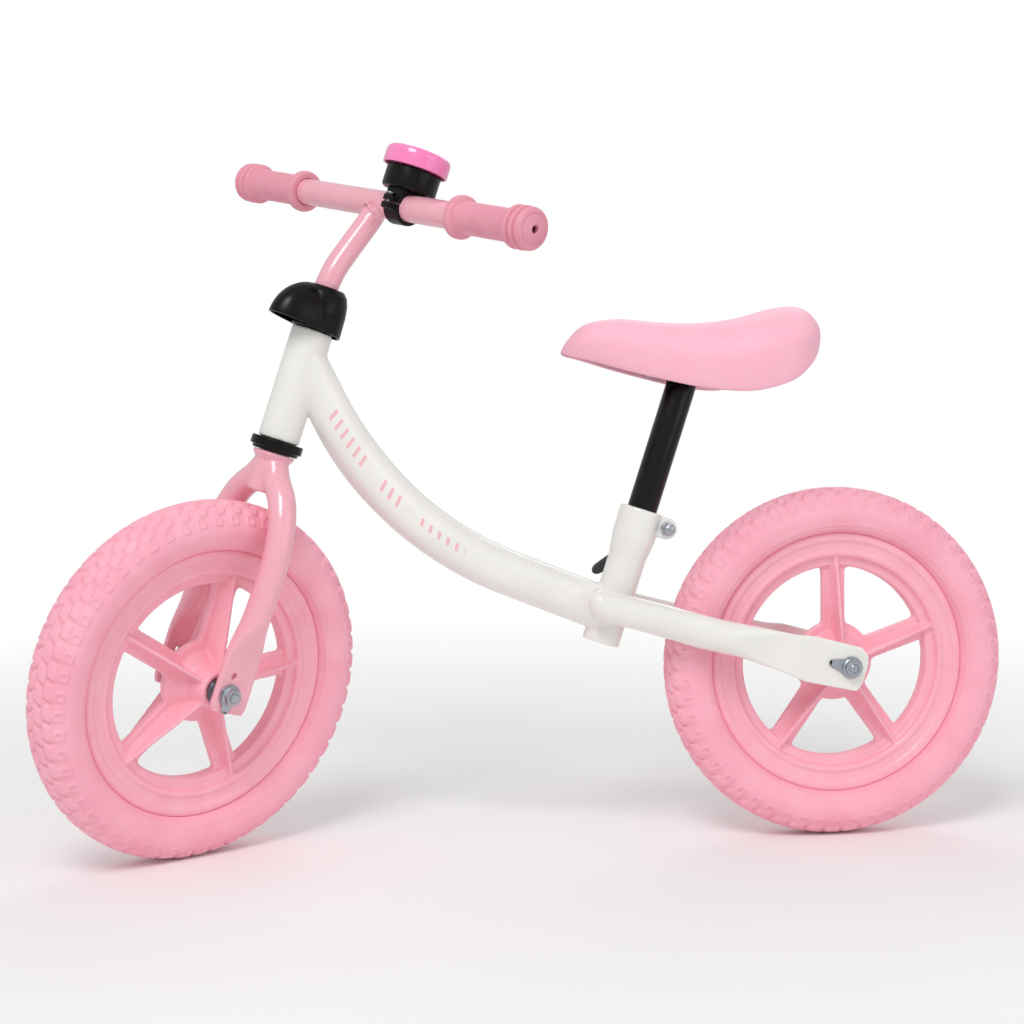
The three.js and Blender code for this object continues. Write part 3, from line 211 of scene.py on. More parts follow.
def foam(name, colour, shade):
    """Closed-cell foam: matt, with tiny cells and faint mould marks."""
    made, tree, surface = shader(name, 0.62, sheen=0.03, subsurface=0.05, specular=0.35)
    patches = texture(tree, "ShaderNodeTexNoise", 35)
    tone = blended(tree, spread(tree, patches.outputs["Fac"], 0, 1), linear(colour), linear(shade))
    edge = linear([min(1, c + 0.04) for c in colour])
    tree.links.new(worn(tree, tone, edge, 0.7), surface.inputs["Base Color"])
    tree.links.new(spread(tree, patches.outputs["Fac"], 0.52, 0.72), surface.inputs["Roughness"])
    cells = texture(tree, "ShaderNodeTexVoronoi", 900)
    fine = bumped(tree, surface, cells.outputs["Distance"], 0.12, 0.0003)
    soft = texture(tree, "ShaderNodeTexNoise", 160)
    bumped(tree, surface, soft.outputs["Fac"], 0.1, 0.0006, fine)
    return made


def leather(name, colour, shade):
    """Soft saddle skin: pebbled grain, a satin sheen and painted shade that darkens the grain's valleys."""
    made, tree, surface = shader(name, 0.5, sheen=0.02, subsurface=0.06, specular=0.25)
    pebbles = texture(tree, "ShaderNodeTexVoronoi", 520)
    patches = texture(tree, "ShaderNodeTexNoise", 18)
    tone = blended(tree, spread(tree, patches.outputs["Fac"], 0, 0.7), linear(colour), linear(shade))
    # Painted shade: the colour goes towards the darker tone where the grain's bump is lowest, in its valleys
    painted_valley_shade = spread(tree, pebbles.outputs["Distance"], 0.25, 0, 0.0, 0.5)
    tree.links.new(blended(tree, painted_valley_shade, tone, linear(shade)), surface.inputs["Base Color"])
    tree.links.new(spread(tree, patches.outputs["Fac"], 0.4, 0.54), surface.inputs["Roughness"])
    fine = bumped(tree, surface, pebbles.outputs["Distance"], 0.16, 0.0003)
    soft = texture(tree, "ShaderNodeTexNoise", 70)
    bumped(tree, surface, soft.outputs["Fac"], 0.05, 0.001, fine)
    return made


def zinc(name):
    """Bright zinc plate: small crystals in its tone and gloss, and turning marks."""
    made, tree, surface = shader(name, 0.3, metallic=1.0)
    crystals = texture(tree, "ShaderNodeTexVoronoi", 700)
    bright, dull = linear((0.86, 0.87, 0.89)), linear((0.68, 0.7, 0.73))
    tone = blended(tree, spread(tree, crystals.outputs["Distance"], 0, 1, 0.0, 0.8), bright, dull)
    tree.links.new(tone, surface.inputs["Base Color"])
    smudges = texture(tree, "ShaderNodeTexNoise", 150)
    tree.links.new(spread(tree, smudges.outputs["Fac"], 0.22, 0.42), surface.inputs["Roughness"])
    scratches = texture(tree, "ShaderNodeTexNoise", 1800, 1.0)
    bumped(tree, surface, scratches.outputs["Fac"], 0.06, 0.0001)
    return made


def operated(tree, kind, first, second=None):
    made = tree.nodes.new("ShaderNodeMath")
    made.operation = kind
    for socket, value in zip(made.inputs, (first, second)):
        if isinstance(value, (int, float)):
            socket.default_value = value
        elif value is not None:
            tree.links.new(value, socket)
    return made.outputs[0]


def near(tree, value, middle, half):
    """1 where value is within half of middle, 0 elsewhere."""
    off = operated(tree, "ABSOLUTE", operated(tree, "SUBTRACT", value, middle))
    return operated(tree, "LESS_THAN", off, half)


# Metres along the main tube's bend: where each group of strokes starts and ends, and half its height
STROKE_GROUPS = ((0.258, 0.312, 0.0046), (0.214, 0.244, 0.0046), (0.152, 0.2, 0.003))
STROKE_PITCH = 0.0088
STROKE_SHARE = 0.34  # of the pitch that a stroke covers
STROKE_SLANT = 0.35


def tube_strokes(tree):
    """Plain slanted strokes along the main tube's bend: 1 on a stroke, 0 off it."""
    where = tree.nodes.new("ShaderNodeTexCoord")
    parts = tree.nodes.new("ShaderNodeSeparateXYZ")
    tree.links.new(where.outputs["Object"], parts.inputs[0])
    centre = MAIN_TUBE["centre"] * MM
    ahead = operated(tree, "SUBTRACT", parts.outputs["X"], centre.x)
    down = operated(tree, "SUBTRACT", centre.z, parts.outputs["Z"])
    squares = [operated(tree, "MULTIPLY", side, side) for side in (ahead, down)]
    out = operated(tree, "SQRT", operated(tree, "ADD", *squares))
    out = operated(tree, "SUBTRACT", out, MAIN_TUBE["bend"] * MM)
    angle = operated(tree, "ARCTAN2", ahead, down)
    along = operated(tree, "MULTIPLY", angle, MAIN_TUBE["bend"] * MM)
    slanted = operated(tree, "ADD", along, operated(tree, "MULTIPLY", out, STROKE_SLANT))
    wave = operated(tree, "FRACT", operated(tree, "DIVIDE", slanted, STROKE_PITCH))
    strokes = operated(tree, "LESS_THAN", wave, STROKE_SHARE)
    found = 0.0
    for start, end, half in STROKE_GROUPS:
        row = near(tree, slanted, (start + end) / 2, (end - start) / 2)
        height = near(tree, out, 0.0, half)
        found = operated(tree, "MAXIMUM", found, operated(tree, "MULTIPLY", row, height))
    return operated(tree, "MULTIPLY", found, strokes)


# ---- Mesh helpers ----


def mesh_object(name, points, faces, where):
    mesh = bpy.data.meshes.new(name)
    place = np.array(points, float).reshape(-1, 3)
    turned_points = place @ np.array(where.to_3x3()).T + np.array(where.translation)
    mesh.from_pydata((turned_points * MM).tolist(), [], faces)
    work = bmesh.new()
    work.from_mesh(mesh)
    bmesh.ops.remove_doubles(work, verts=work.verts, dist=2e-6)
    bmesh.ops.recalc_face_normals(work, faces=work.faces)
    work.to_mesh(mesh)
    work.free()
    made = bpy.data.objects.new(name, mesh)
    bpy.context.scene.collection.objects.link(made)
    return made


def surface_grid(name, grid, where, wrap_rows=False, wrap_columns=True, capped=False):
    """A skin over a grid of points: rows are sections along it, columns go round each section."""
    rows, columns = grid.shape[:2]
    down = np.arange(rows if wrap_rows else rows - 1)
    across = np.arange(columns if wrap_columns else columns - 1)
    i, j = np.meshgrid(down, across, indexing="ij")
    i2, j2 = (i + 1) % rows, (j + 1) % columns
    quads = np.stack([i * columns + j, i * columns + j2, i2 * columns + j2, i2 * columns + j], -1)
    faces = quads.reshape(-1, 4).tolist()
    if capped:
        faces += [list(range(columns)), list(range((rows - 1) * columns, rows * columns))]
    return mesh_object(name, grid, faces, where)


def rounded(points, size, limit=0.45, steps=3):
    """The closed outline with its corners rounded by size, or less on a short side."""
    made = []
    corners = [np.array(point, float) for point in points]
    for index, corner in enumerate(corners):
        before, after = corners[index - 1], corners[(index + 1) % len(corners)]
        back, ahead = np.linalg.norm(before - corner), np.linalg.norm(after - corner)
        start = corner + (before - corner) * min(size, limit * back) / back
        end = corner + (after - corner) * min(size, limit * ahead) / ahead
        for t in np.linspace(0, 1, steps + 1):
            made.append((1 - t) ** 2 * start + 2 * t * (1 - t) * corner + t * t * end)
    return np.array(made)


def smooth_through(points, count):
    """Count points, evenly spaced, on a smooth curve through the given ones."""
    given = np.array(points, float)
    given = np.vstack([2 * given[0] - given[1], given, 2 * given[-1] - given[-2]])
    dense = []
    for a, b, c, d in zip(given[:-3], given[1:-2], given[2:-1], given[3:]):
        t = np.linspace(0, 1, 24, endpoint=False)[:, None]
        line = 2 * b + (c - a) * t
        square = (2 * a - 5 * b + 4 * c - d) * t**2
        cube = (3 * b - a - 3 * c + d) * t**3
        dense.append(0.5 * (line + square + cube))
    dense = np.vstack([*dense, given[-2][None]])
    length = np.concatenate([[0], np.cumsum(np.linalg.norm(np.diff(dense, axis=0), axis=1))])
    at = np.linspace(0, length[-1], count)
    return np.column_stack([np.interp(at, length, column) for column in dense.T])


def turned(name, profile, where, facets=64):
    """A closed [radius, height] profile turned about local Z."""
    outline = np.array(profile, float)
    angles = np.arange(facets) * math.tau / facets
    ring = np.stack([np.cos(angles), np.sin(angles)], -1)
    grid = np.zeros((facets, len(outline), 3))
    grid[..., :2] = ring[:, None, :] * outline[None, :, :1]
    grid[..., 2] = outline[None, :, 1]
    return surface_grid(name, grid, where, wrap_rows=True)


def squared(wave, power):
    """A wave pushed out towards a square one as the power falls below 1."""
    return np.sign(wave) * np.abs(wave) ** power


def tube(name, path, radius, where, facets=40, side=(0, 1, 0), half=None, square=None):
    """A solid along a path. Radius is half its width square to side; half is half its width along side."""
    path = np.array(path, float)
    count = len(path)
    radius = np.broadcast_to(radius, count)
    half = radius if half is None else np.broadcast_to(half, count)
    square = np.ones(count) if square is None else np.broadcast_to(square, count)
    tangent = np.gradient(path, axis=0)
    tangent /= np.linalg.norm(tangent, axis=1)[:, None]
    across = np.array(side, float) - tangent * (tangent @ np.array(side, float))[:, None]
    across /= np.linalg.norm(across, axis=1)[:, None]
    up = np.cross(tangent, across)
    angles = np.arange(facets) * math.tau / facets
    power = square[:, None]
    wide = squared(np.cos(angles), power) * half[:, None]
    tall = squared(np.sin(angles), power) * radius[:, None]
    grid = path[:, None] + across[:, None] * wide[..., None] + up[:, None] * tall[..., None]
    return surface_grid(name, grid, where, capped=True)


def block(name, low, high, where, bevel=0.0):
    (a, b, c), (d, e, f) = low, high
    points = [(x, y, z) for x in (a, d) for y in (b, e) for z in (c, f)]
    faces = [(0, 1, 3, 2), (4, 6, 7, 5), (0, 4, 5, 1), (2, 3, 7, 6), (0, 2, 6, 4), (1, 5, 7, 3)]
    made = mesh_object(name, points, faces, where)
    if bevel:
        bevelled(made, bevel)
    return made


def applied(made, kind, **settings):
    modifier = made.modifiers.new(kind.title(), kind)
    for name, value in settings.items():
        setattr(modifier, name, value)
    graph = bpy.context.evaluated_depsgraph_get()
    graph.update()
    mesh = bpy.data.meshes.new_from_object(made.evaluated_get(graph))
    made.modifiers.clear()
    old = made.data
    made.data = mesh
    bpy.data.meshes.remove(old)
    return made


def bevelled(made, width, segments=2):
    return applied(made, "BEVEL", width=width * MM, segments=segments, limit_method="ANGLE")


def cut(made, *tools):
    for tool in tools:
        applied(made, "BOOLEAN", operation="DIFFERENCE", solver="EXACT", object=tool)
        bpy.data.objects.remove(tool)
    return made


def joined(name, parts):
    work = bmesh.new()
    for part in parts:
        work.from_mesh(part.data)
        bpy.data.objects.remove(part)
    mesh = bpy.data.meshes.new(name)
    work.to_mesh(mesh)
    work.free()
    made = bpy.data.objects.new(name, mesh)
    bpy.context.scene.collection.objects.link(made)
    return made


def fused(name, parts, voxel, passes):
    """The parts as one skin with small fillets where they meet."""
    made = joined(name, parts)
    applied(made, "REMESH", mode="VOXEL", voxel_size=voxel * MM, use_smooth_shade=True)
    return applied(made, "SMOOTH", factor=0.5, iterations=passes)


def softened(made, centre, reach, passes):
    """Melts the seam near a joint into a wider fillet."""
    group = made.vertex_groups.new(name="near")
    middle = Vector(centre) * MM
    for vertex in made.data.vertices:
        share = 1 - (vertex.co - middle).length / (reach * MM)
        if share > 0:
            group.add([vertex.index], min(1.0, 2 * share), "REPLACE")
    applied(made, "SMOOTH", factor=0.5, iterations=passes, vertex_group="near")
    made.vertex_groups.clear()
    return made


def piece(made, body, slot, *stands_for, crease=38):
    """Shades a new piece, gives it its finish and sets it on its CAD body."""
    made.data.shade_smooth()
    if crease:
        made.data.set_sharp_from_angle(angle=math.radians(crease))
    made.data.materials.clear()
    made.data.materials.append(FINISH[slot])
    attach(made, body)
    if stands_for:
        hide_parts(*stands_for)
    return made


# ---- Frame tubes ----


def on_head(height):
    return HEAD @ Vector((0, 0, height))


def on_seat(height):
    return SEAT @ Vector((0, 0, height))


def main_tube_way():
    """Straight from the seat tube, one bend, and straight to the head tube."""
    bend, low_angle, high_angle = 284, math.radians(21.57), math.radians(65.1)
    low, high = on_seat(27.3), on_head(276.5)
    low_way = Vector((math.cos(low_angle), 0, math.sin(low_angle)))
    high_way = Vector((math.cos(high_angle), 0, math.sin(high_angle)))
    span = high - low
    across = low_way.x * high_way.z - low_way.z * high_way.x
    corner = low + low_way * ((span.x * high_way.z - span.z * high_way.x) / across)
    tangent = bend * math.tan((high_angle - low_angle) / 2)
    centre = corner - low_way * tangent + Vector((-low_way.z, 0, low_way.x)) * bend
    path = [low.lerp(corner - low_way * tangent, t) for t in np.linspace(0, 1, 8, endpoint=False)]
    for angle in np.linspace(low_angle, high_angle, 36, endpoint=False):
        path.append(centre + Vector((math.sin(angle), 0, -math.cos(angle))) * bend)
    path += [(corner + high_way * tangent).lerp(high, t) for t in np.linspace(0, 1, 8)]
    return {"path": [tuple(point) for point in path], "centre": centre, "bend": bend}


MAIN_TUBE = main_tube_way()

FINISH = {
    "pearl_paint": paint("pearl paint", (0.955, 0.95, 0.93), (0.93, 0.925, 0.905), 0.26, tube_strokes),
    "pink_paint": paint("pink paint", (0.965, 0.7, 0.755), (0.95, 0.675, 0.735), 0.22),
    "black_paint": paint(
        "black paint", (0.03, 0.03, 0.035), (0.02, 0.02, 0.025), 0.2, coat=0.1, specular=0.25,
    ),
    "black_plastic": plastic(
        "black plastic", (0.04, 0.04, 0.045), (0.025, 0.025, 0.03), 0.26, 900, 0.06, specular=0.22,
    ),
    "lever_plastic": plastic("lever plastic", (0.22, 0.21, 0.23), (0.17, 0.165, 0.18), 0.5, 1100, 0.25),
    "zinc": zinc("zinc plate"),
    "pink_plastic": plastic(
        "pink plastic", (1.0, 0.725, 0.785), (0.99, 0.69, 0.755), 0.34, 700, 0.06, subsurface=0.06,
    ),
    "foam_tyre": foam("foam tyre", (1.0, 0.72, 0.785), (0.985, 0.675, 0.75)),
    "grip_rubber": plastic("grip rubber", (0.93, 0.63, 0.7), (0.9, 0.59, 0.665), 0.55, 1300, 0.22),
    "saddle_skin": leather("saddle skin", (1.0, 0.755, 0.825), (0.985, 0.72, 0.795)),
    "bell_pink": plastic(
        "bell pink", (1.0, 0.54, 0.775), (0.99, 0.5, 0.74), 0.22, 500, 0.03, subsurface=0.05, coat=0.7,
    ),
}
for node in frame["nodes"].values():
    for material_slot in node.material_slots:
        material_slot.material = FINISH[material_slot.material.name.split(".")[0]]

# ---- Tyres ----

PITCHES = 56
TREAD_HEIGHT = 2.3
TOOTH_STEPS = 16  # grid steps round the tyre for each tooth pitch


def tyre_outline():
    """The tyre's skin across the wheel, [radius, side], and each point's distance from the crown."""
    half = [
        (147.6, 0), (146.6, 8), (143.5, 15), (137.6, 20.8), (129.5, 23.3), (121, 22.1), (115.5, 19.4),
        (113, 16.2), (111.7, 13.2),
    ]
    across = smooth_through([*[(r, -y) for r, y in half[::-1]], *half[1:]], 111)
    middle = len(across) // 2
    steps = np.linalg.norm(np.diff(across, axis=0), axis=1)
    distance = np.concatenate([[0], np.cumsum(steps)])
    return across, distance - distance[middle]


def inside(value, edge):
    """1 where value is above 0, falling to 0 over the edge width."""
    return np.clip(value / edge + 0.5, 0, 1)


def tread(turn, across):
    """The tread's height over its base, by turn in tooth pitches and distance across from the crown."""
    pitch = math.tau * TYRE_RADIUS / PITCHES
    side = np.sign(across)
    reach = np.abs(across)

    def beside(offset, slant):
        return np.abs(((turn + offset + 0.25 * side + slant * reach) % 1 - 0.5) * pitch)

    zigzag = 1.6 * (np.abs((turn + 0.1 * reach) % 1 - 0.5) * 4 - 1)
    inner = np.minimum(6.9 - beside(0, 0.03), np.minimum(reach - 0.6, 10.2 + 0.6 * zigzag - reach))
    band = np.minimum(reach - 10.9 - 0.6 * zigzag, 18.2 + zigzag - reach)
    outer = np.minimum(6.7 - beside(0.5, 0.03), band)
    edge = 4.2 - np.maximum(beside(0.12, 0.0), np.abs(reach - 23.2))
    bracket = np.minimum(edge, np.maximum(1.7 - edge, 21.4 - reach))
    height = np.maximum(inside(inner, 1.8), np.maximum(inside(outer, 1.8), 0.5 * inside(bracket, 0.9)))
    line = 0.2 * np.exp(-((reach - 44) ** 2) / 0.8) + 0.2 * np.exp(-((reach - 47.5) ** 2) / 0.8)
    return TREAD_HEIGHT * np.maximum(height, line)


def tyre(name, where):
    """The foam tyre: its toothed skin outside, and the bead that sits in the rim's groove inside."""
    across, distance = tyre_outline()
    facets = PITCHES * TOOTH_STEPS
    angles = np.arange(facets) * math.tau / facets
    tangent = np.gradient(across, axis=0)
    normal = np.stack([tangent[:, 1], -tangent[:, 0]], -1)
    normal /= np.linalg.norm(normal, axis=1)[:, None]
    turn = (np.arange(facets) / TOOTH_STEPS)[:, None]
    height = tread(turn, distance[None, :])
    radius = across[None, :, 0] + height * normal[None, :, 0]
    side = across[None, :, 1] + height * normal[None, :, 1]
    skin = np.stack([radius * np.cos(angles)[:, None], side, radius * np.sin(angles)[:, None]], -1)
    inner = np.array([(112.05, 6.4), (117.3, 4.4), (117.3, -4.4), (112.05, -6.4)])
    ring = np.zeros((facets, 4, 3))
    ring[..., 0] = np.cos(angles)[:, None] * inner[None, :, 0]
    ring[..., 1] = inner[None, :, 1]
    ring[..., 2] = np.sin(angles)[:, None] * inner[None, :, 0]
    return surface_grid(name, np.concatenate([skin, ring], 1), where, wrap_rows=True)


# ---- Wheel mouldings ----

# The mouldings are drawn flat, then stood about Y
WHEEL_TURN = Matrix(((1, 0, 0, 0), (0, 0, 1, 0), (0, 1, 0, 0), (0, 0, 0, 1)))


def window(middle):
    """One opening between two spokes, from the hub's plate to the rim's band."""
    half, offset, inner, outer = math.radians(36), 10, 33, 82.4

    def at(radius, side):
        angle = half - math.asin(offset / radius)
        return radius * np.array((math.cos(angle * side), math.sin(angle * side)))

    last = half - math.asin(offset / outer)
    arc = [outer * np.array((math.cos(a), math.sin(a))) for a in np.linspace(last, -last, 7)[1:-1]]
    outline = rounded([at(inner, 1), at(outer, 1), *arc, at(outer, -1), at(inner, -1)], 5.6, 0.97, 6)
    turn = np.array(((math.cos(middle), -math.sin(middle)), (math.sin(middle), math.cos(middle))))
    return outline @ turn.T


def pierced_plate(outer, windows, half, where):
    """A round plate with the windows cut through it."""
    curve = bpy.data.curves.new("plate", "CURVE")
    curve.dimensions, curve.fill_mode, curve.extrude = "2D", "BOTH", half
    angles = np.arange(120) * math.tau / 120
    for outline in [outer * np.stack([np.cos(angles), np.sin(angles)], -1), *windows]:
        spline = curve.splines.new("POLY")
        spline.points.add(len(outline) - 1)
        spline.points.foreach_set("co", np.pad(outline, ((0, 0), (0, 2))).ravel())
        spline.use_cyclic_u = True
    drawn = bpy.data.objects.new("plate", curve)
    bpy.context.scene.collection.objects.link(drawn)
    graph = bpy.context.evaluated_depsgraph_get()
    mesh = bpy.data.meshes.new_from_object(drawn.evaluated_get(graph))
    points = [tuple(vertex.co) for vertex in mesh.vertices]
    faces = [tuple(polygon.vertices) for polygon in mesh.polygons]
    bpy.data.objects.remove(drawn)
    return mesh_object("plate", points, faces, where)


def fin(angle, where):
    """A spoke's rib: tall at the hub, low at the rim, thinner at its crest."""
    rings = []
    for radius, height in ((12.5, 28), (24, 25.4), (91, 9.9)):
        flare = 0.9 if radius == 91 else 0.0
        foot = 3.3 + flare
        section = [
            (1.3, height), (2.0, 9.0), (foot, 4.6), (foot, -4.6), (2.0, -9.0), (1.3, -height),
            (-1.3, -height), (-2.0, -9.0), (-foot, -4.6), (-foot, 4.6), (-2.0, 9.0), (-1.3, height),
        ]
        rings.append([(radius, tangential, axial) for tangential, axial in section])
    return surface_grid("fin", np.array(rings), where @ Matrix.Rotation(angle, 4, "Z"), capped=True)


def wheel_moulding(name, where, phase):
    """The rim's band, the hub and five ribbed spokes as one moulding, the first spoke at phase degrees."""
    flat = where @ WHEEL_TURN
    spokes = [math.radians(phase + 72 * index) for index in range(5)]
    windows = [window(angle + math.radians(36)) for angle in spokes]
    band = [
        (82.4, 5.8), (83.4, 6.8), (88.6, 7.3), (90, 8.4), (91, 11.4), (93, 12.7), (95, 12.9),
        (96.2, 11.6), (103, 12.3), (104.4, 13.8), (106, 14.3), (109.6, 14.3), (111.2, 13.4),
        (112.05, 12), (112.05, 6), (117, 4),
    ]
    hub = [
        (8.8, 22.6), (11.4, 22.6), (11.4, 30), (15, 30), (15.8, 27), (19, 13), (27, 4.5), (34, 3.6),
        (34, -3.6), (27, -4.5), (19, -13), (15.8, -27), (15, -30), (11.4, -30), (11.4, -22.6), (8.8, -22.6),
    ]
    parts = [
        pierced_plate(88, windows, 3.6, flat),
        turned("band", [*band, *[(radius, -side) for radius, side in band[::-1]]], flat, 180),
        turned("hub", hub, flat, 72),
        *[fin(angle, flat) for angle in spokes],
    ]
    return fused(name, parts, 0.95, 2)


# ---- Fastenings at the wheels' ends ----


def hexagon(name, radius, low, high, where, chamfer=0.8):
    """A hexagonal prism with its corners turned down at both ends."""
    angles = np.arange(6) * math.tau / 6
    corners = np.stack([np.cos(angles), np.sin(angles)], -1)
    levels = [
        (radius - chamfer, low), (radius, low + 0.5 * chamfer),
        (radius, high - 0.5 * chamfer), (radius - chamfer, high),
    ]
    grid = np.array([[(*(corner * size), height) for corner in corners] for size, height in levels])
    return surface_grid(name, grid, where, capped=True)


def flange_nut(name, where):
    flange = turned("flange", rounded([(3.9, 0), (8.5, 0), (8.5, 1), (6.8, 2), (3.9, 2)], 0.4), where, 48)
    body = hexagon("body", 7.5, 1.2, 6, where)
    collar = turned("collar", rounded([(3.9, 5.2), (5.6, 5.2), (5.6, 6.4), (3.9, 6.4)], 0.3), where, 40)
    return joined(name, [flange, body, collar])


def tab_washer(name, where, tab):
    """A washer with a tapering tab that hooks into the frame's small hole."""
    ring = turned("ring", rounded([(4.3, 0), (9.5, 0), (9.5, 1.6), (4.3, 1.6)], 0.35), where, 56)
    outline = rounded([(7, -6), (tab - 3, -3.1), (tab, -2), (tab, 2), (tab - 3, 3.1), (7, 6)], 1.2)
    grid = np.array([[(x, y, z) for x, y in outline] for z in (0.05, 1.55)])
    plate = surface_grid("tab", grid, where, capped=True)
    hook = surface_grid("hook", np.array([
        [(tab - 1.6, -1.9, z), (tab, -1.9, z), (tab, 1.9, z), (tab - 1.6, 1.9, z)] for z in (-2.5, 1.55)
    ]), where, capped=True)
    return joined(name, [ring, plate, hook])


def threaded_axle(name, half, where):
    """The axle, with its thread's crests and roots near both ends."""
    ends = [(3.0, half), (3.9, half - 0.8)]
    thread = []
    for index in range(16):
        crest = half - 1.4 - index
        thread += [(3.55, crest + 0.4), (4.0, crest), (4.0, crest - 0.2)]
    upper = [(0, half), *ends, *thread]
    return turned(name, [*upper, *[(radius, -height) for radius, height in upper[::-1]]], where, 32)


def ball_bearing(name, where):
    """A sealed bearing: its two rings, with the shield between them set in a little."""
    half = 3.5
    shield = half - 0.45
    profile = [
        (4.4, -half), (11, -half), (11, half), (9.7, half), (9.5, shield), (6.4, shield), (6.2, half),
        (4.4, half),
    ]
    return turned(name, rounded(profile, 0.25, steps=2), where, 56)


AXLE_HALF_LENGTH = 54.5
BEARING_OUT = 26.5  # a bearing's middle, from the wheel's
SPACER_INNER_END = 30.3
STACK_GAP = 0.3  # between a spacer or a washer and the frame or fork end


def wheel(end, where, phase, holder, plate, tab_angle, tab_length):
    """A wheel with its axle fastenings. Plate is the middle and thickness of what holds the axle."""
    body = f"{end}_wheel"
    piece(tyre(f"{end}_foam_tyre", where), body, "foam_tyre", f"{end}_tyre", crease=0)
    piece(wheel_moulding(f"{end}_moulding", where, phase), body, "pink_plastic", f"{end}_rim", crease=0)
    stood = where @ ABOUT_Y
    piece(threaded_axle(f"{end}_threaded_axle", AXLE_HALF_LENGTH, stood), holder, "zinc", f"{end}_axle")
    middle, thickness = plate
    inner, face = SPACER_INNER_END, middle - thickness / 2 - STACK_GAP
    outside = middle + thickness / 2 + STACK_GAP
    for side, hand in SIDES:
        flip = where @ hand @ ABOUT_Y
        race = ball_bearing(f"{end}_race_{side}", flip @ Matrix.Translation((0, 0, BEARING_OUT)))
        piece(race, body, "zinc", f"{end}_bearing_{side}")
        sleeve = rounded([(4.3, inner), (7, inner), (7, face), (4.3, face)], 0.5)
        piece(turned(f"{end}_collar_{side}", sleeve, flip, 48), holder, "zinc", f"{end}_spacer_{side}")
        angle = tab_angle if side == "left" else math.pi - tab_angle
        lifted = flip @ Matrix.Translation((0, 0, outside))
        washer = tab_washer(f"{end}_hook_washer_{side}", lifted @ Matrix.Rotation(-angle, 4, "Z"), tab_length)
        piece(washer, holder, "zinc", f"{end}_washer_{side}")
        nut = flange_nut(f"{end}_axle_nut_{side}", lifted @ Matrix.Translation((0, 0, 1.9)))
        piece(nut, holder, "zinc", f"{end}_nut_{side}", crease=25)


wheel("rear", REAR, 17, "frame", (43, 5), math.radians(15), 20)
wheel("front", FRONT, 16, "fork", (41, 6), math.radians(-90), 15)

# ---- Frame weldment ----


TAB_HOLE = [(0, 20), (2.6, 20), (2.6, 60), (0, 60)]  # for a washer's tab, across the bike on one side


def eased(share):
    """A share held between 0 and 1 and eased at both ends."""
    share = np.clip(share, 0, 1)
    return share * share * (3 - 2 * share)


def chainstay(side):
    """Round beside the seat tube, then pressed flat to the axle plate, whose rear corners are cut off."""
    rear = [60, 54, 47, 40, 32, 20, 5, -5.6, -10.5, -15.8]
    x = np.concatenate([[223.4, 222.2, 219.5, 215], np.linspace(208, 66, 44), rear])
    high = np.interp(
        x,
        [-15.8, -10.5, 32.2, 45.3, 80.2, 114.9, 179.2, 224],
        [158.6, 166.3, 177.4, 178.2, 185.9, 193.6, 211, 221],
    )
    low = np.interp(
        x,
        [-15.8, -10.5, -5.6, 40.4, 62.4, 97.3, 131.8, 179, 224],
        [152.2, 135.7, 129.1, 138.7, 148.6, 160.9, 168.8, 182.8, 194.6],
    )
    flat = eased((118 - x) / 58)
    outward = eased((176 - x) / 66)
    dome = np.sqrt(np.clip(1 - ((x - 212) / 11.6).clip(0) ** 2, 0.02, 1))
    middle = (high + low) / 2
    half_height = (high - low) / 2 * dome
    half_width = (13.2 + (2.5 - 13.2) * flat) * dome
    power = (1 - 0.78 * flat)[:, None]
    angles = np.arange(36) * math.tau / 36
    y = side * (29.3 + 13.7 * outward)[:, None] + squared(np.cos(angles), power) * half_width[:, None]
    z = middle[:, None] + squared(np.sin(angles), power) * half_height[:, None]
    grid = np.stack([np.broadcast_to(x[:, None], y.shape), y, z], -1)
    stay = surface_grid("stay", grid, Matrix.Identity(4), capped=True)
    hand = Matrix.Identity(4) if side > 0 else RIGHT_SIDE
    hole_place = Matrix.Translation((15.1, 0, 153.3)) @ hand @ ABOUT_Y
    return cut(stay, turned("hole", TAB_HOLE, hole_place, 24))


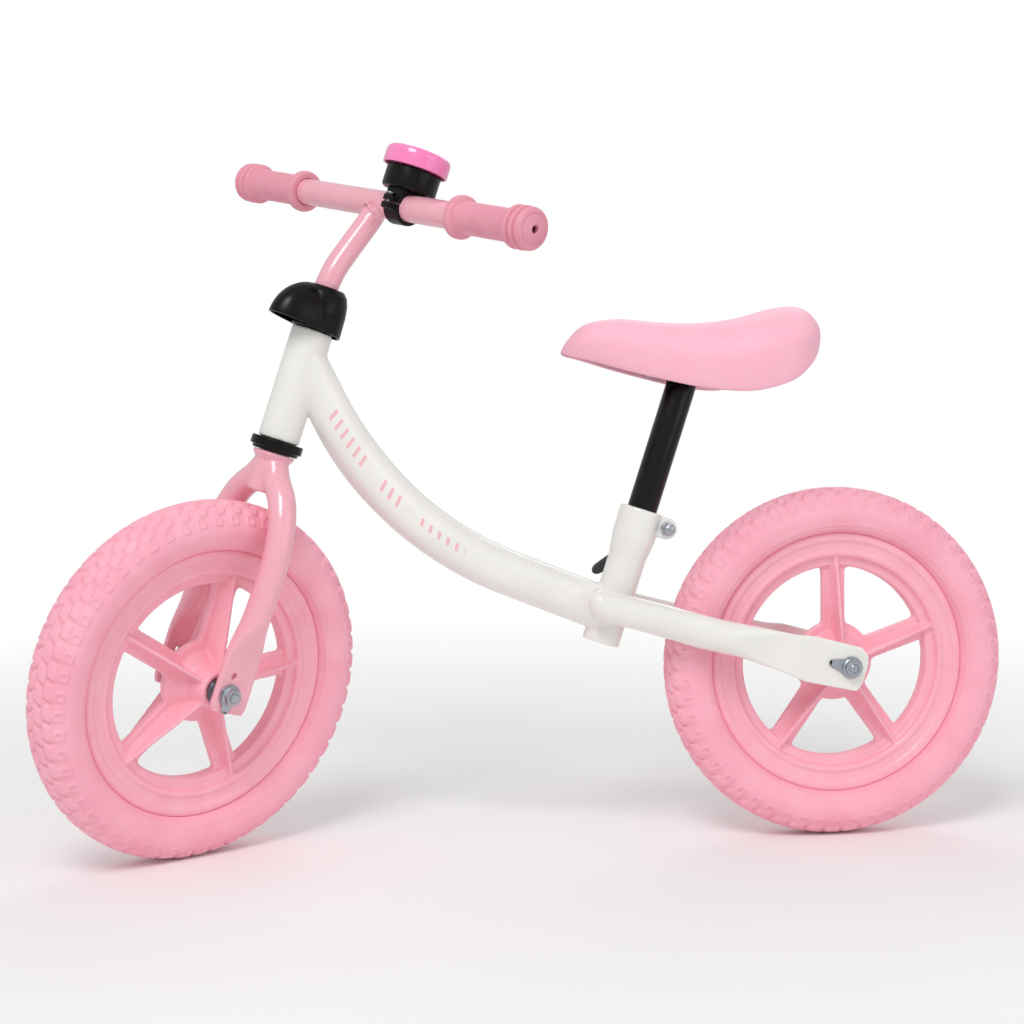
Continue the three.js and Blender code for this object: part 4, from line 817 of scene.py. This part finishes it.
def frame_weldment():
    """The main, head and seat tubes, both stays and the clamp's collar, welded together."""
    whole = Matrix.Identity(4)
    radius = np.interp(np.arange(52), [0, 34, 51], [19, 19, 16.6])
    main = tube("main", MAIN_TUBE["path"], radius, whole, 48)
    head = turned("head", [(14.7, 205.8), (17, 205.8), (17, 299.3), (14.7, 299.3)], HEAD, 64)
    web = tube("web", [on_head(256), on_head(268) + Vector((-22, 0, -8))], 9, whole, 32, half=8)
    head_core = turned("core", [(0, 190), (14.6, 190), (14.6, 320), (0, 320)], HEAD, 48)
    trim = cut(main, head_core)
    seat = turned("seat", [(13.2, 0), (15.9, 0), (15.9, 118), (13.2, 118)], SEAT, 64)
    seat_core = turned("seat_core", [(0, -30), (13.2, -30), (13.2, 130), (0, 130)], SEAT, 48)
    trim = cut(trim, seat_core)
    collar_outline = rounded([(14.5, 74), (15.7, 74), (18.3, 93), (18.5, 117.7), (14.5, 117.7)], 1.4)
    collar = turned("collar", collar_outline, SEAT, 64)
    ears = []
    for low, high in ((1.7, 10.5), (-10.5, -1.7)):
        ears.append(block("ear", (-24, low, 99.2), (-14.6, high, 117.2), SEAT, 1.0))
        round_ear = rounded([(0, low), (9, low), (9, high), (0, high)], 1.0)
        ears.append(turned("ear", round_ear, SKEWER @ ABOUT_Y, 40))
    slot = block("slot", (-40, -1.7, 93), (-10, 1.7, 125), SEAT)
    clamp = cut(joined("clamp", [collar]), slot)
    seat = cut(seat, block("slit", (-30, -1.5, 93), (-5, 1.5, 125), SEAT))
    web = cut(web, block("core", (-14.6, -30, 190), (40, 30, 320), HEAD))
    tubes = [trim, web, head, seat, clamp, *ears, chainstay(1), chainstay(-1)]
    made = fused("frame_weldment", tubes, 1.0, 4)
    crotch = on_head(276.5) + Vector((-17, 0, -22))
    made = softened(made, crotch, 34, 26)
    made = softened(made, on_head(276.5) + Vector((-14, 0, 8)), 24, 12)
    return softened(made, on_seat(30), 44, 7)


piece(
    frame_weldment(), "frame", "pearl_paint",
    "head_tube", "main_tube", "left_chainstay", "right_chainstay", "seat_tube", "seat_clamp_collar",
    crease=0,
)

cup = [
    (13.2, 209), (14.9, 209), (14.9, 205.2), (20.6, 205.2), (21.4, 204.4), (21.4, 198.6), (20.6, 197.9),
    (19.2, 197.9), (18.9, 197.2), (18.9, 195.9), (18.3, 195.3), (13.2, 195.3),
]
flanged_cup = turned("lower_flanged_cup", rounded(cup, 0.35), HEAD, 72)
piece(flanged_cup, "frame", "black_plastic", "lower_headset_cup")

# ---- Fork ----


def fork_leg(side):
    """From the crown's side, out round the tyre, then pressed flat to a slotted end."""
    spine = smooth_through([
        (0, 6, 184), (0, 13.5, 174), (0, 28, 160), (0, 36.5, 145), (0, 41, 130), (0, 43.5, 113), (0, 44, 96),
        (0, 43.7, 80), (0, 42.4, 62), (0, 41.2, 45), (0, 41, 20), (0, 41, -15),
    ], 64)
    height = spine[:, 2]
    flat = eased((66 - height) / 38)
    wide = 11.25 + (17 - 11.25) * flat
    wide = np.where(height < -9, wide - (-9 - height) * 0.35, wide)
    spine[:, 1] *= side
    leg = tube("leg", spine, wide, STEERING, 40, half=11.25 + (3 - 11.25) * flat, square=1 - 0.75 * flat)
    hand = Matrix.Identity(4) if side > 0 else RIGHT_SIDE
    where = STEERING @ hand @ Matrix.Translation((4.57 * side, 0, 0))
    slot = block("slot", (-5, 20, -40), (5, 60, 0), where)
    round_end = turned("round", [(0, 20), (5, 20), (5, 60), (0, 60)], where @ ABOUT_Y, 32)
    hole = turned("hole", TAB_HOLE, where @ Matrix.Translation((0, 0, 15.5)) @ ABOUT_Y, 24)
    return cut(leg, slot, round_end, hole)


crown = [
    (0, 161.5), (12.8, 161.5), (13.3, 162.3), (13.3, 186), (14, 189), (16.8, 192), (17.1, 193.2),
    (16.8, 194.6), (0, 194.6),
]
fork = fused("fork_weldment", [turned("crown", crown, STEERING, 72), fork_leg(1), fork_leg(-1)], 0.95, 4)
for direction in (1, -1):
    fork = softened(fork, STEERING @ Vector((0, 14 * direction, 166)), 24, 10)
piece(fork, "fork", "pink_paint", "fork_leg_left", "fork_leg_right", crease=0)

# ---- Hood over the stem clamp ----


def hood_body(inset):
    """A round cap and the bulge in front of it, drawn in by the inset on every side."""
    radius, top = 22.4 - inset, 336 - inset
    cap = turned("cap", [
        (0, 284), (radius + 0.6, 284), (radius + 0.4, 300), (radius, 316), (radius - 1.2, 325),
        (radius - 3.4, 331.5), (radius - 7, top - 0.4), (radius - 11, top), (0, top),
    ], STEERING, 96)
    reach, wide, tall = 35 - inset, 20.5 - inset, 34.5 - inset
    rows = [(math.cos(a), math.sin(a)) for a in np.linspace(-math.pi / 2, math.pi / 2, 36)]
    ball = turned("dome", rows, Matrix.Identity(4), 72)
    shape = Matrix.Diagonal((reach, wide, tall, 1))
    place = STEERING @ Matrix.Translation((10, 0, 301.5)) @ shape
    for vertex in ball.data.vertices:
        vertex.co = (place @ (vertex.co / MM)) * MM
    return fused("hood", [cap, ball], 0.8, 3)


def hood():
    """The hollow hood, open below along a slightly tilted edge, with a hole for the stem."""
    outer, inner = hood_body(0), hood_body(2)
    tilt = STEERING @ Matrix.Translation((-22.4, 0, 298)) @ Matrix.Rotation(math.radians(-4.5), 4, "Y")
    below = block("below", (-90, -90, -60), (160, 90, 0), tilt)
    stem_hole = turned("hole", [(0, 320), (10.6, 320), (10.6, 350), (0, 350)], STEERING, 48)
    made = cut(outer, inner, below, stem_hole)
    made.name = "plastic_hood"
    return made


piece(hood(), "fork", "black_plastic", "stem_clamp_hood", crease=42)

# ---- Handlebar and grips ----


def handlebar_weldment():
    """The gooseneck stem and the straight bar, with a weld bead where they meet."""
    neck = smooth_through([
        (0, 0, 338), (-3, 0, 353), (-8, 0, 366.4), (-14.9, 0, 383.2), (-21.9, 0, 400.2), (-26.1, 0, 414),
    ], 26)
    straight = [(0, 0, height) for height in np.linspace(262, 337, 16, endpoint=False)]
    stem = tube("stem", [*straight, *[tuple(point) for point in neck]], 9.9, STEERING, 40)
    ends = rounded([(9.2, -184), (11.1, -184), (11.1, 184), (9.2, 184)], 0.6)
    bar = turned("bar", ends, BAR @ ABOUT_Y, 48)
    bead = []
    for index in range(28):
        angle = math.tau * index / 28
        reach = 10.8 + 0.35 * math.sin(9 * angle)
        drop = math.sqrt(max(0.0, 11.3**2 - (reach * math.cos(angle)) ** 2))
        bead.append((reach * math.cos(angle) + 3.2, reach * math.sin(angle), -drop))
    bead.append(bead[0])
    weld = tube("weld", smooth_through(bead, 80), 1.4, BAR, 14, side=(0, 0, 1))
    made = fused("handlebar_weldment", [stem, bar, weld], 0.85, 3)
    return softened(made, BAR.translation, 20, 4)


piece(handlebar_weldment(), "handlebar_set", "pink_paint", "handlebar_stem", "handlebar", crease=0)

grip_outline = rounded([
    (11.4, 99.7), (15.6, 99.7), (17.3, 101.2), (17.5, 103.7), (17.3, 106.2), (15.6, 107.7), (13.3, 108.4),
    (13, 110.5), (13.1, 164.6), (14, 166.4), (16.2, 167.4), (17.1, 169), (17.1, 171.4), (16.4, 172.6),
    (14.7, 173.1), (14.7, 174.3), (16.5, 174.8), (17.2, 176.2), (17.2, 178.4), (16.4, 179.6), (14.8, 180),
    (14.8, 181.2), (16.3, 181.6), (16.9, 183), (16.6, 184.8), (15.2, 186.8), (12.6, 187.7), (12.1, 187),
    (11.4, 187.9), (7, 188.9), (4, 189.4), (3.2, 188.6), (3, 184.6), (11.4, 184.6),
], 0.7, steps=2)
for side, hand in SIDES:
    sleeve = turned(f"{side}_rubber_grip", grip_outline, BAR @ hand @ ABOUT_Y, 72)
    piece(sleeve, "handlebar_set", "grip_rubber", f"{side}_grip")

# ---- Bell ----

bell_cup = rounded([
    (0, 12.6), (21, 12.6), (22.5, 14.2), (22.5, 30.6), (20.5, 30.6), (20.5, 20.8), (4, 20.6), (4, 32.3),
    (0, 32.3),
], 0.9)
strap_outline = rounded([(0, -8.6), (14.3, -8.6), (14.3, 8.6), (0, 8.6)], 1.0)
strap = turned("strap", strap_outline, BELL @ ABOUT_Y, 64)
neck = block("neck", (-14.2, -9.5, 0), (14.2, 9.5, 14), BELL, 0.9)
ears = block("ears", (6, -5.4, -6), (19.7, 5.4, 6), BELL, 1.6)
bar_space = turned("space", [(0, -30), (11.4, -30), (11.4, 30), (0, 30)], BELL @ ABOUT_Y, 64)
gap = block("gap", (8, -9, -0.9), (30, 9, 0.9), BELL)
clamp = fused("clamp", [strap, neck, ears], 0.6, 2)
base = joined("bell_base_cup", [turned("cup", bell_cup, BELL, 72), cut(clamp, bar_space, gap)])
piece(base, "handlebar_set", "black_plastic", "bell_base")
screw = rounded([(0, -5.8), (1.6, -5.8), (1.6, 6.3), (3, 6.3), (3, 7.6), (2, 8.2), (0, 8.2)], 0.4)
screw_place = BELL @ Matrix.Translation((16.9, 0, 0))
piece(turned("bell_strap_screw", screw, screw_place, 32), "handlebar_set", "zinc", "bell_clamp_screw")
cap = rounded([
    (0, 45.4), (22.5, 45.4), (25.2, 42.2), (25.2, 31.2), (27, 31.2), (27, 41.4), (26.2, 44.6),
    (23.6, 46.6), (19, 47.2), (0, 47.2),
], 1.0, steps=5)
piece(turned("bell_twist_cap", cap, BELL, 96), "bell_top", "bell_pink", "bell_cap", crease=50)

# ---- Seat post, plate, clamp nut and lever ----

post = rounded([(11.1, 15), (12.7, 15), (12.7, 230.5), (11.1, 230.5)], 0.5)
piece(turned("post_tube", post, SEAT, 64), "seat", "black_paint", "seat_post")
plate_outline = rounded([(-33, -22), (33, -22), (33, 22), (-33, 22)], 6)
plate_faces = np.array([[(x, y, z) for x, y in plate_outline] for z in (-2.5, 0)])
plate = surface_grid("plate", plate_faces, PLATE, capped=True)
holes = [
    turned("hole", [(0, -9), (2.7, -9), (2.7, 9), (0, 9)], PLATE @ Matrix.Translation((x, y, 0)), 24)
    for x, y in ((25, 0), (-25, 15), (-25, -15))
]
piece(bevelled(cut(plate, *holes), 0.4), "seat", "black_paint", "saddle_plate")

nut_face = 10.8
flat_nut = hexagon("hex", 6.2, nut_face, nut_face + 6, SKEWER @ ABOUT_Y)
dome = turned("dome", [
    (0, nut_face + 5), (5.2, nut_face + 5), (5.1, nut_face + 8), (4.3, nut_face + 10),
    (2.6, nut_face + 11.2), (0, nut_face + 11.5),
], SKEWER @ ABOUT_Y, 40)
piece(joined("acorn_nut", [flat_nut, dome]), "frame", "zinc", "clamp_acorn_nut", crease=30)


def lever():
    """The cam between the skewer's cheeks and the curved paddle that turns it."""
    cam = turned("cam", rounded([(0, -6.5), (6.5, -6.5), (6.5, 6.5), (0, 6.5)], 1.0), LEVER, 48)
    path = [(x, -3.2 - 0.0009 * x * x, 0) for x in np.linspace(2, 68, 32)]
    along = np.array([point[0] for point in path])
    width = np.interp(along, [0, 26, 50, 63, 66.6, 68], [4.8, 4.1, 4.8, 4.7, 3.3, 1.2])
    thick = np.interp(along, [0, 50, 65, 68], [2.4, 2.1, 1.9, 1.0])
    paddle = tube("paddle", path, width, LEVER, 32, half=thick, square=0.6)
    made = fused("cam_lever", [cam, paddle], 0.45, 3)
    return cut(made, block("slot", (-13, -13, -2.9), (9.5, 13, 2.9), LEVER))


piece(lever(), "lever", "lever_plastic", "clamp_lever", crease=45)

# ---- Saddle ----

SADDLE_SECTIONS = [  # from tail to nose: how far forward, lower edge, crown, half width
    (-118, 43, 52, 14), (-113, 34, 62, 32), (-101, 21, 71.2, 46.5), (-82, 8.5, 70.5, 55.5),
    (-50, 0.5, 62, 55), (-15, 2.5, 57.5, 44), (20, 9.5, 58, 34), (55, 18, 60.5, 27), (82, 25.5, 55.5, 20),
    (96, 28.5, 42.5, 12), (101, 30.5, 35, 5),
]


def saddle_ring(x, low, high, half):
    """One section of the cover: crowned top, tucked sides, a rolled lip and a hollow underneath."""
    waist = low + 0.42 * (high - low)
    top = [
        (half * np.sign(math.cos(a)) * abs(math.cos(a)) ** 0.82, waist + (high - waist) * math.sin(a) ** 0.92)
        for a in np.linspace(0, math.pi, 33)
    ]
    depth = high - low
    hollow = min(15, 0.5 * depth)
    thin = min(1.0, half / 24)
    roof = low + hollow
    right = [
        (half - 0.3, waist - 0.14 * depth), (half - 1.4 * thin, low + 0.12 * depth),
        (half - 2.8 * thin, low + 1.2), (half - 3.8 * thin, low + 0.1), (half - 5.6 * thin, low + 0.4),
        (half - 7 * thin, low + 2.2), (0.8 * half - 0.4 * thin, low + 0.7 * hollow), (0.7 * half, roof),
        (0.35 * half, roof + 0.3),
    ]
    ring = [*top, *[(-y, z) for y, z in right], (0, roof + 0.4), *right[::-1]]
    return [(x, y, z) for y, z in ring]


def saddle_cover():
    """The padded cover as one skin through the sections, closed at the tail and the nose."""
    sections = smooth_through(SADDLE_SECTIONS, 58)
    rings = []
    tail, nose = sections[0], sections[-1]
    for share in (0.35, 0.75):
        middle = (tail[1] + tail[2]) / 2
        reach = (tail[2] - tail[1]) / 2 * share
        back = tail[0] - 1.6 * (1 - share)
        rings.append(saddle_ring(back, middle - reach, middle + reach, max(7.0, tail[3] * share)))
    rings += [saddle_ring(*section) for section in sections]
    middle = (nose[1] + nose[2]) / 2
    front = nose[0] + 0.8
    rings.append([(front, 0.4 * y, middle + 0.4 * (z - middle)) for _, y, z in saddle_ring(*nose)])
    made = surface_grid("saddle_shell", np.array(rings), SADDLE, capped=True)
    return applied(made, "SUBSURF", levels=1, render_levels=1)


cover = piece(saddle_cover(), "seat", "saddle_skin", "saddle_cover", crease=0)


def saddle_pan():
    """The black moulded pan under the cover, with a turned-down rim and two ribs."""
    rings = []
    for x, low, high, half in smooth_through(SADDLE_SECTIONS, 58):
        if high - low < 32:
            continue
        wide = 0.73 * half
        edge, floor, top = low + 4.6, low + 6, low + 14
        rings.append([(x, y, z) for y, z in (
            (wide, top), (wide, edge), (wide - 1.4, edge - 0.2), (wide - 2, floor), (6, floor), (5, edge),
            (4, edge), (3, floor), (-3, floor), (-4, edge), (-5, edge), (-6, floor), (2 - wide, floor),
            (1.4 - wide, edge - 0.2), (-wide, edge), (-wide, top),
        )])
    return surface_grid("saddle_pan", np.array(rings), SADDLE, capped=True)


piece(saddle_pan(), "seat", "black_plastic", "saddle_base", crease=50)

# ---- Floor, lights and camera ----

FLOOR_REACH = 30000
WHITE = (1, 1, 1, 1)

low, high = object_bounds()
floor = surface_grid("floor", np.array([
    [(x, y, low.z / MM) for x in (-FLOOR_REACH, FLOOR_REACH)] for y in (-FLOOR_REACH, FLOOR_REACH)
]), Matrix.Identity(4), wrap_columns=False)
floor_finish, floor_tree, floor_surface = shader("pale floor", 0.8, specular=0.1)
floor_tone = texture(floor_tree, "ShaderNodeTexNoise", 3)
floor_share = spread(floor_tree, floor_tone.outputs["Fac"], 0, 1)
floor_mix = blended(floor_tree, floor_share, [0.93, 0.93, 0.93, 1], [0.95, 0.95, 0.95, 1])
floor_tree.links.new(floor_mix, floor_surface.inputs["Base Color"])
spot = floor_tree.nodes.new("ShaderNodeTexCoord")
away = floor_tree.nodes.new("ShaderNodeVectorMath")
away.operation = "DISTANCE"
away.inputs[1].default_value = ((low.x + high.x) / 2, 0, low.z)
floor_tree.links.new(spot.outputs["Object"], away.inputs[0])
faded = spread(floor_tree, away.outputs["Value"], 1, 0, 0.55, 1.5)
floor_tree.links.new(faded, floor_surface.inputs["Alpha"])
floor.data.materials.append(floor_finish)

world = bpy.data.worlds.new("studio")
bpy.context.scene.world = world
world.use_nodes = True
sky = world.node_tree.nodes["Background"]
sky.inputs["Color"].default_value = WHITE
sky.inputs["Strength"].default_value = 0.6
backdrop = world.node_tree.nodes.new("ShaderNodeBackground")
backdrop.inputs["Color"].default_value = WHITE
seen = world.node_tree.nodes.new("ShaderNodeLightPath")
either = world.node_tree.nodes.new("ShaderNodeMixShader")
world.node_tree.links.new(seen.outputs["Is Camera Ray"], either.inputs[0])
world.node_tree.links.new(sky.outputs[0], either.inputs[1])
world.node_tree.links.new(backdrop.outputs[0], either.inputs[2])
world.node_tree.links.new(either.outputs[0], world.node_tree.nodes["World Output"].inputs[0])
middle = (low + high) / 2


def area_light(name, place, size, watts):
    """A square lamp that faces the middle of the bike."""
    lamp = bpy.data.lights.new(name, "AREA")
    lamp.shape, lamp.size, lamp.size_y, lamp.energy = "RECTANGLE", size, size, watts
    made = bpy.data.objects.new(name, lamp)
    made.location = place
    made.rotation_mode = "QUATERNION"
    made.rotation_quaternion = (middle - Vector(place)).to_track_quat("-Z", "Y")
    bpy.context.scene.collection.objects.link(made)


area_light("key", (1.3, 2.0, 2.6), 1.2, 41)
area_light("fill", (-1.8, 2.0, 1.0), 1.8, 8)
area_light("rim", (-0.6, -2.2, 2.2), 1.4, 9)

lens = bpy.data.cameras.new("camera")
lens.lens, lens.sensor_width = 66.65, 36
camera = bpy.data.objects.new("camera", lens)
bpy.context.scene.collection.objects.link(camera)
camera.location = (0.5647, 1.5527, 0.3864)
target = Vector((0.28209, 0, 0.28158))
camera.rotation_mode = "QUATERNION"
camera.rotation_quaternion = (target - camera.location).to_track_quat("-Z", "Y")
bpy.context.scene.camera = camera
bpy.context.scene.view_settings.view_transform = "Standard"
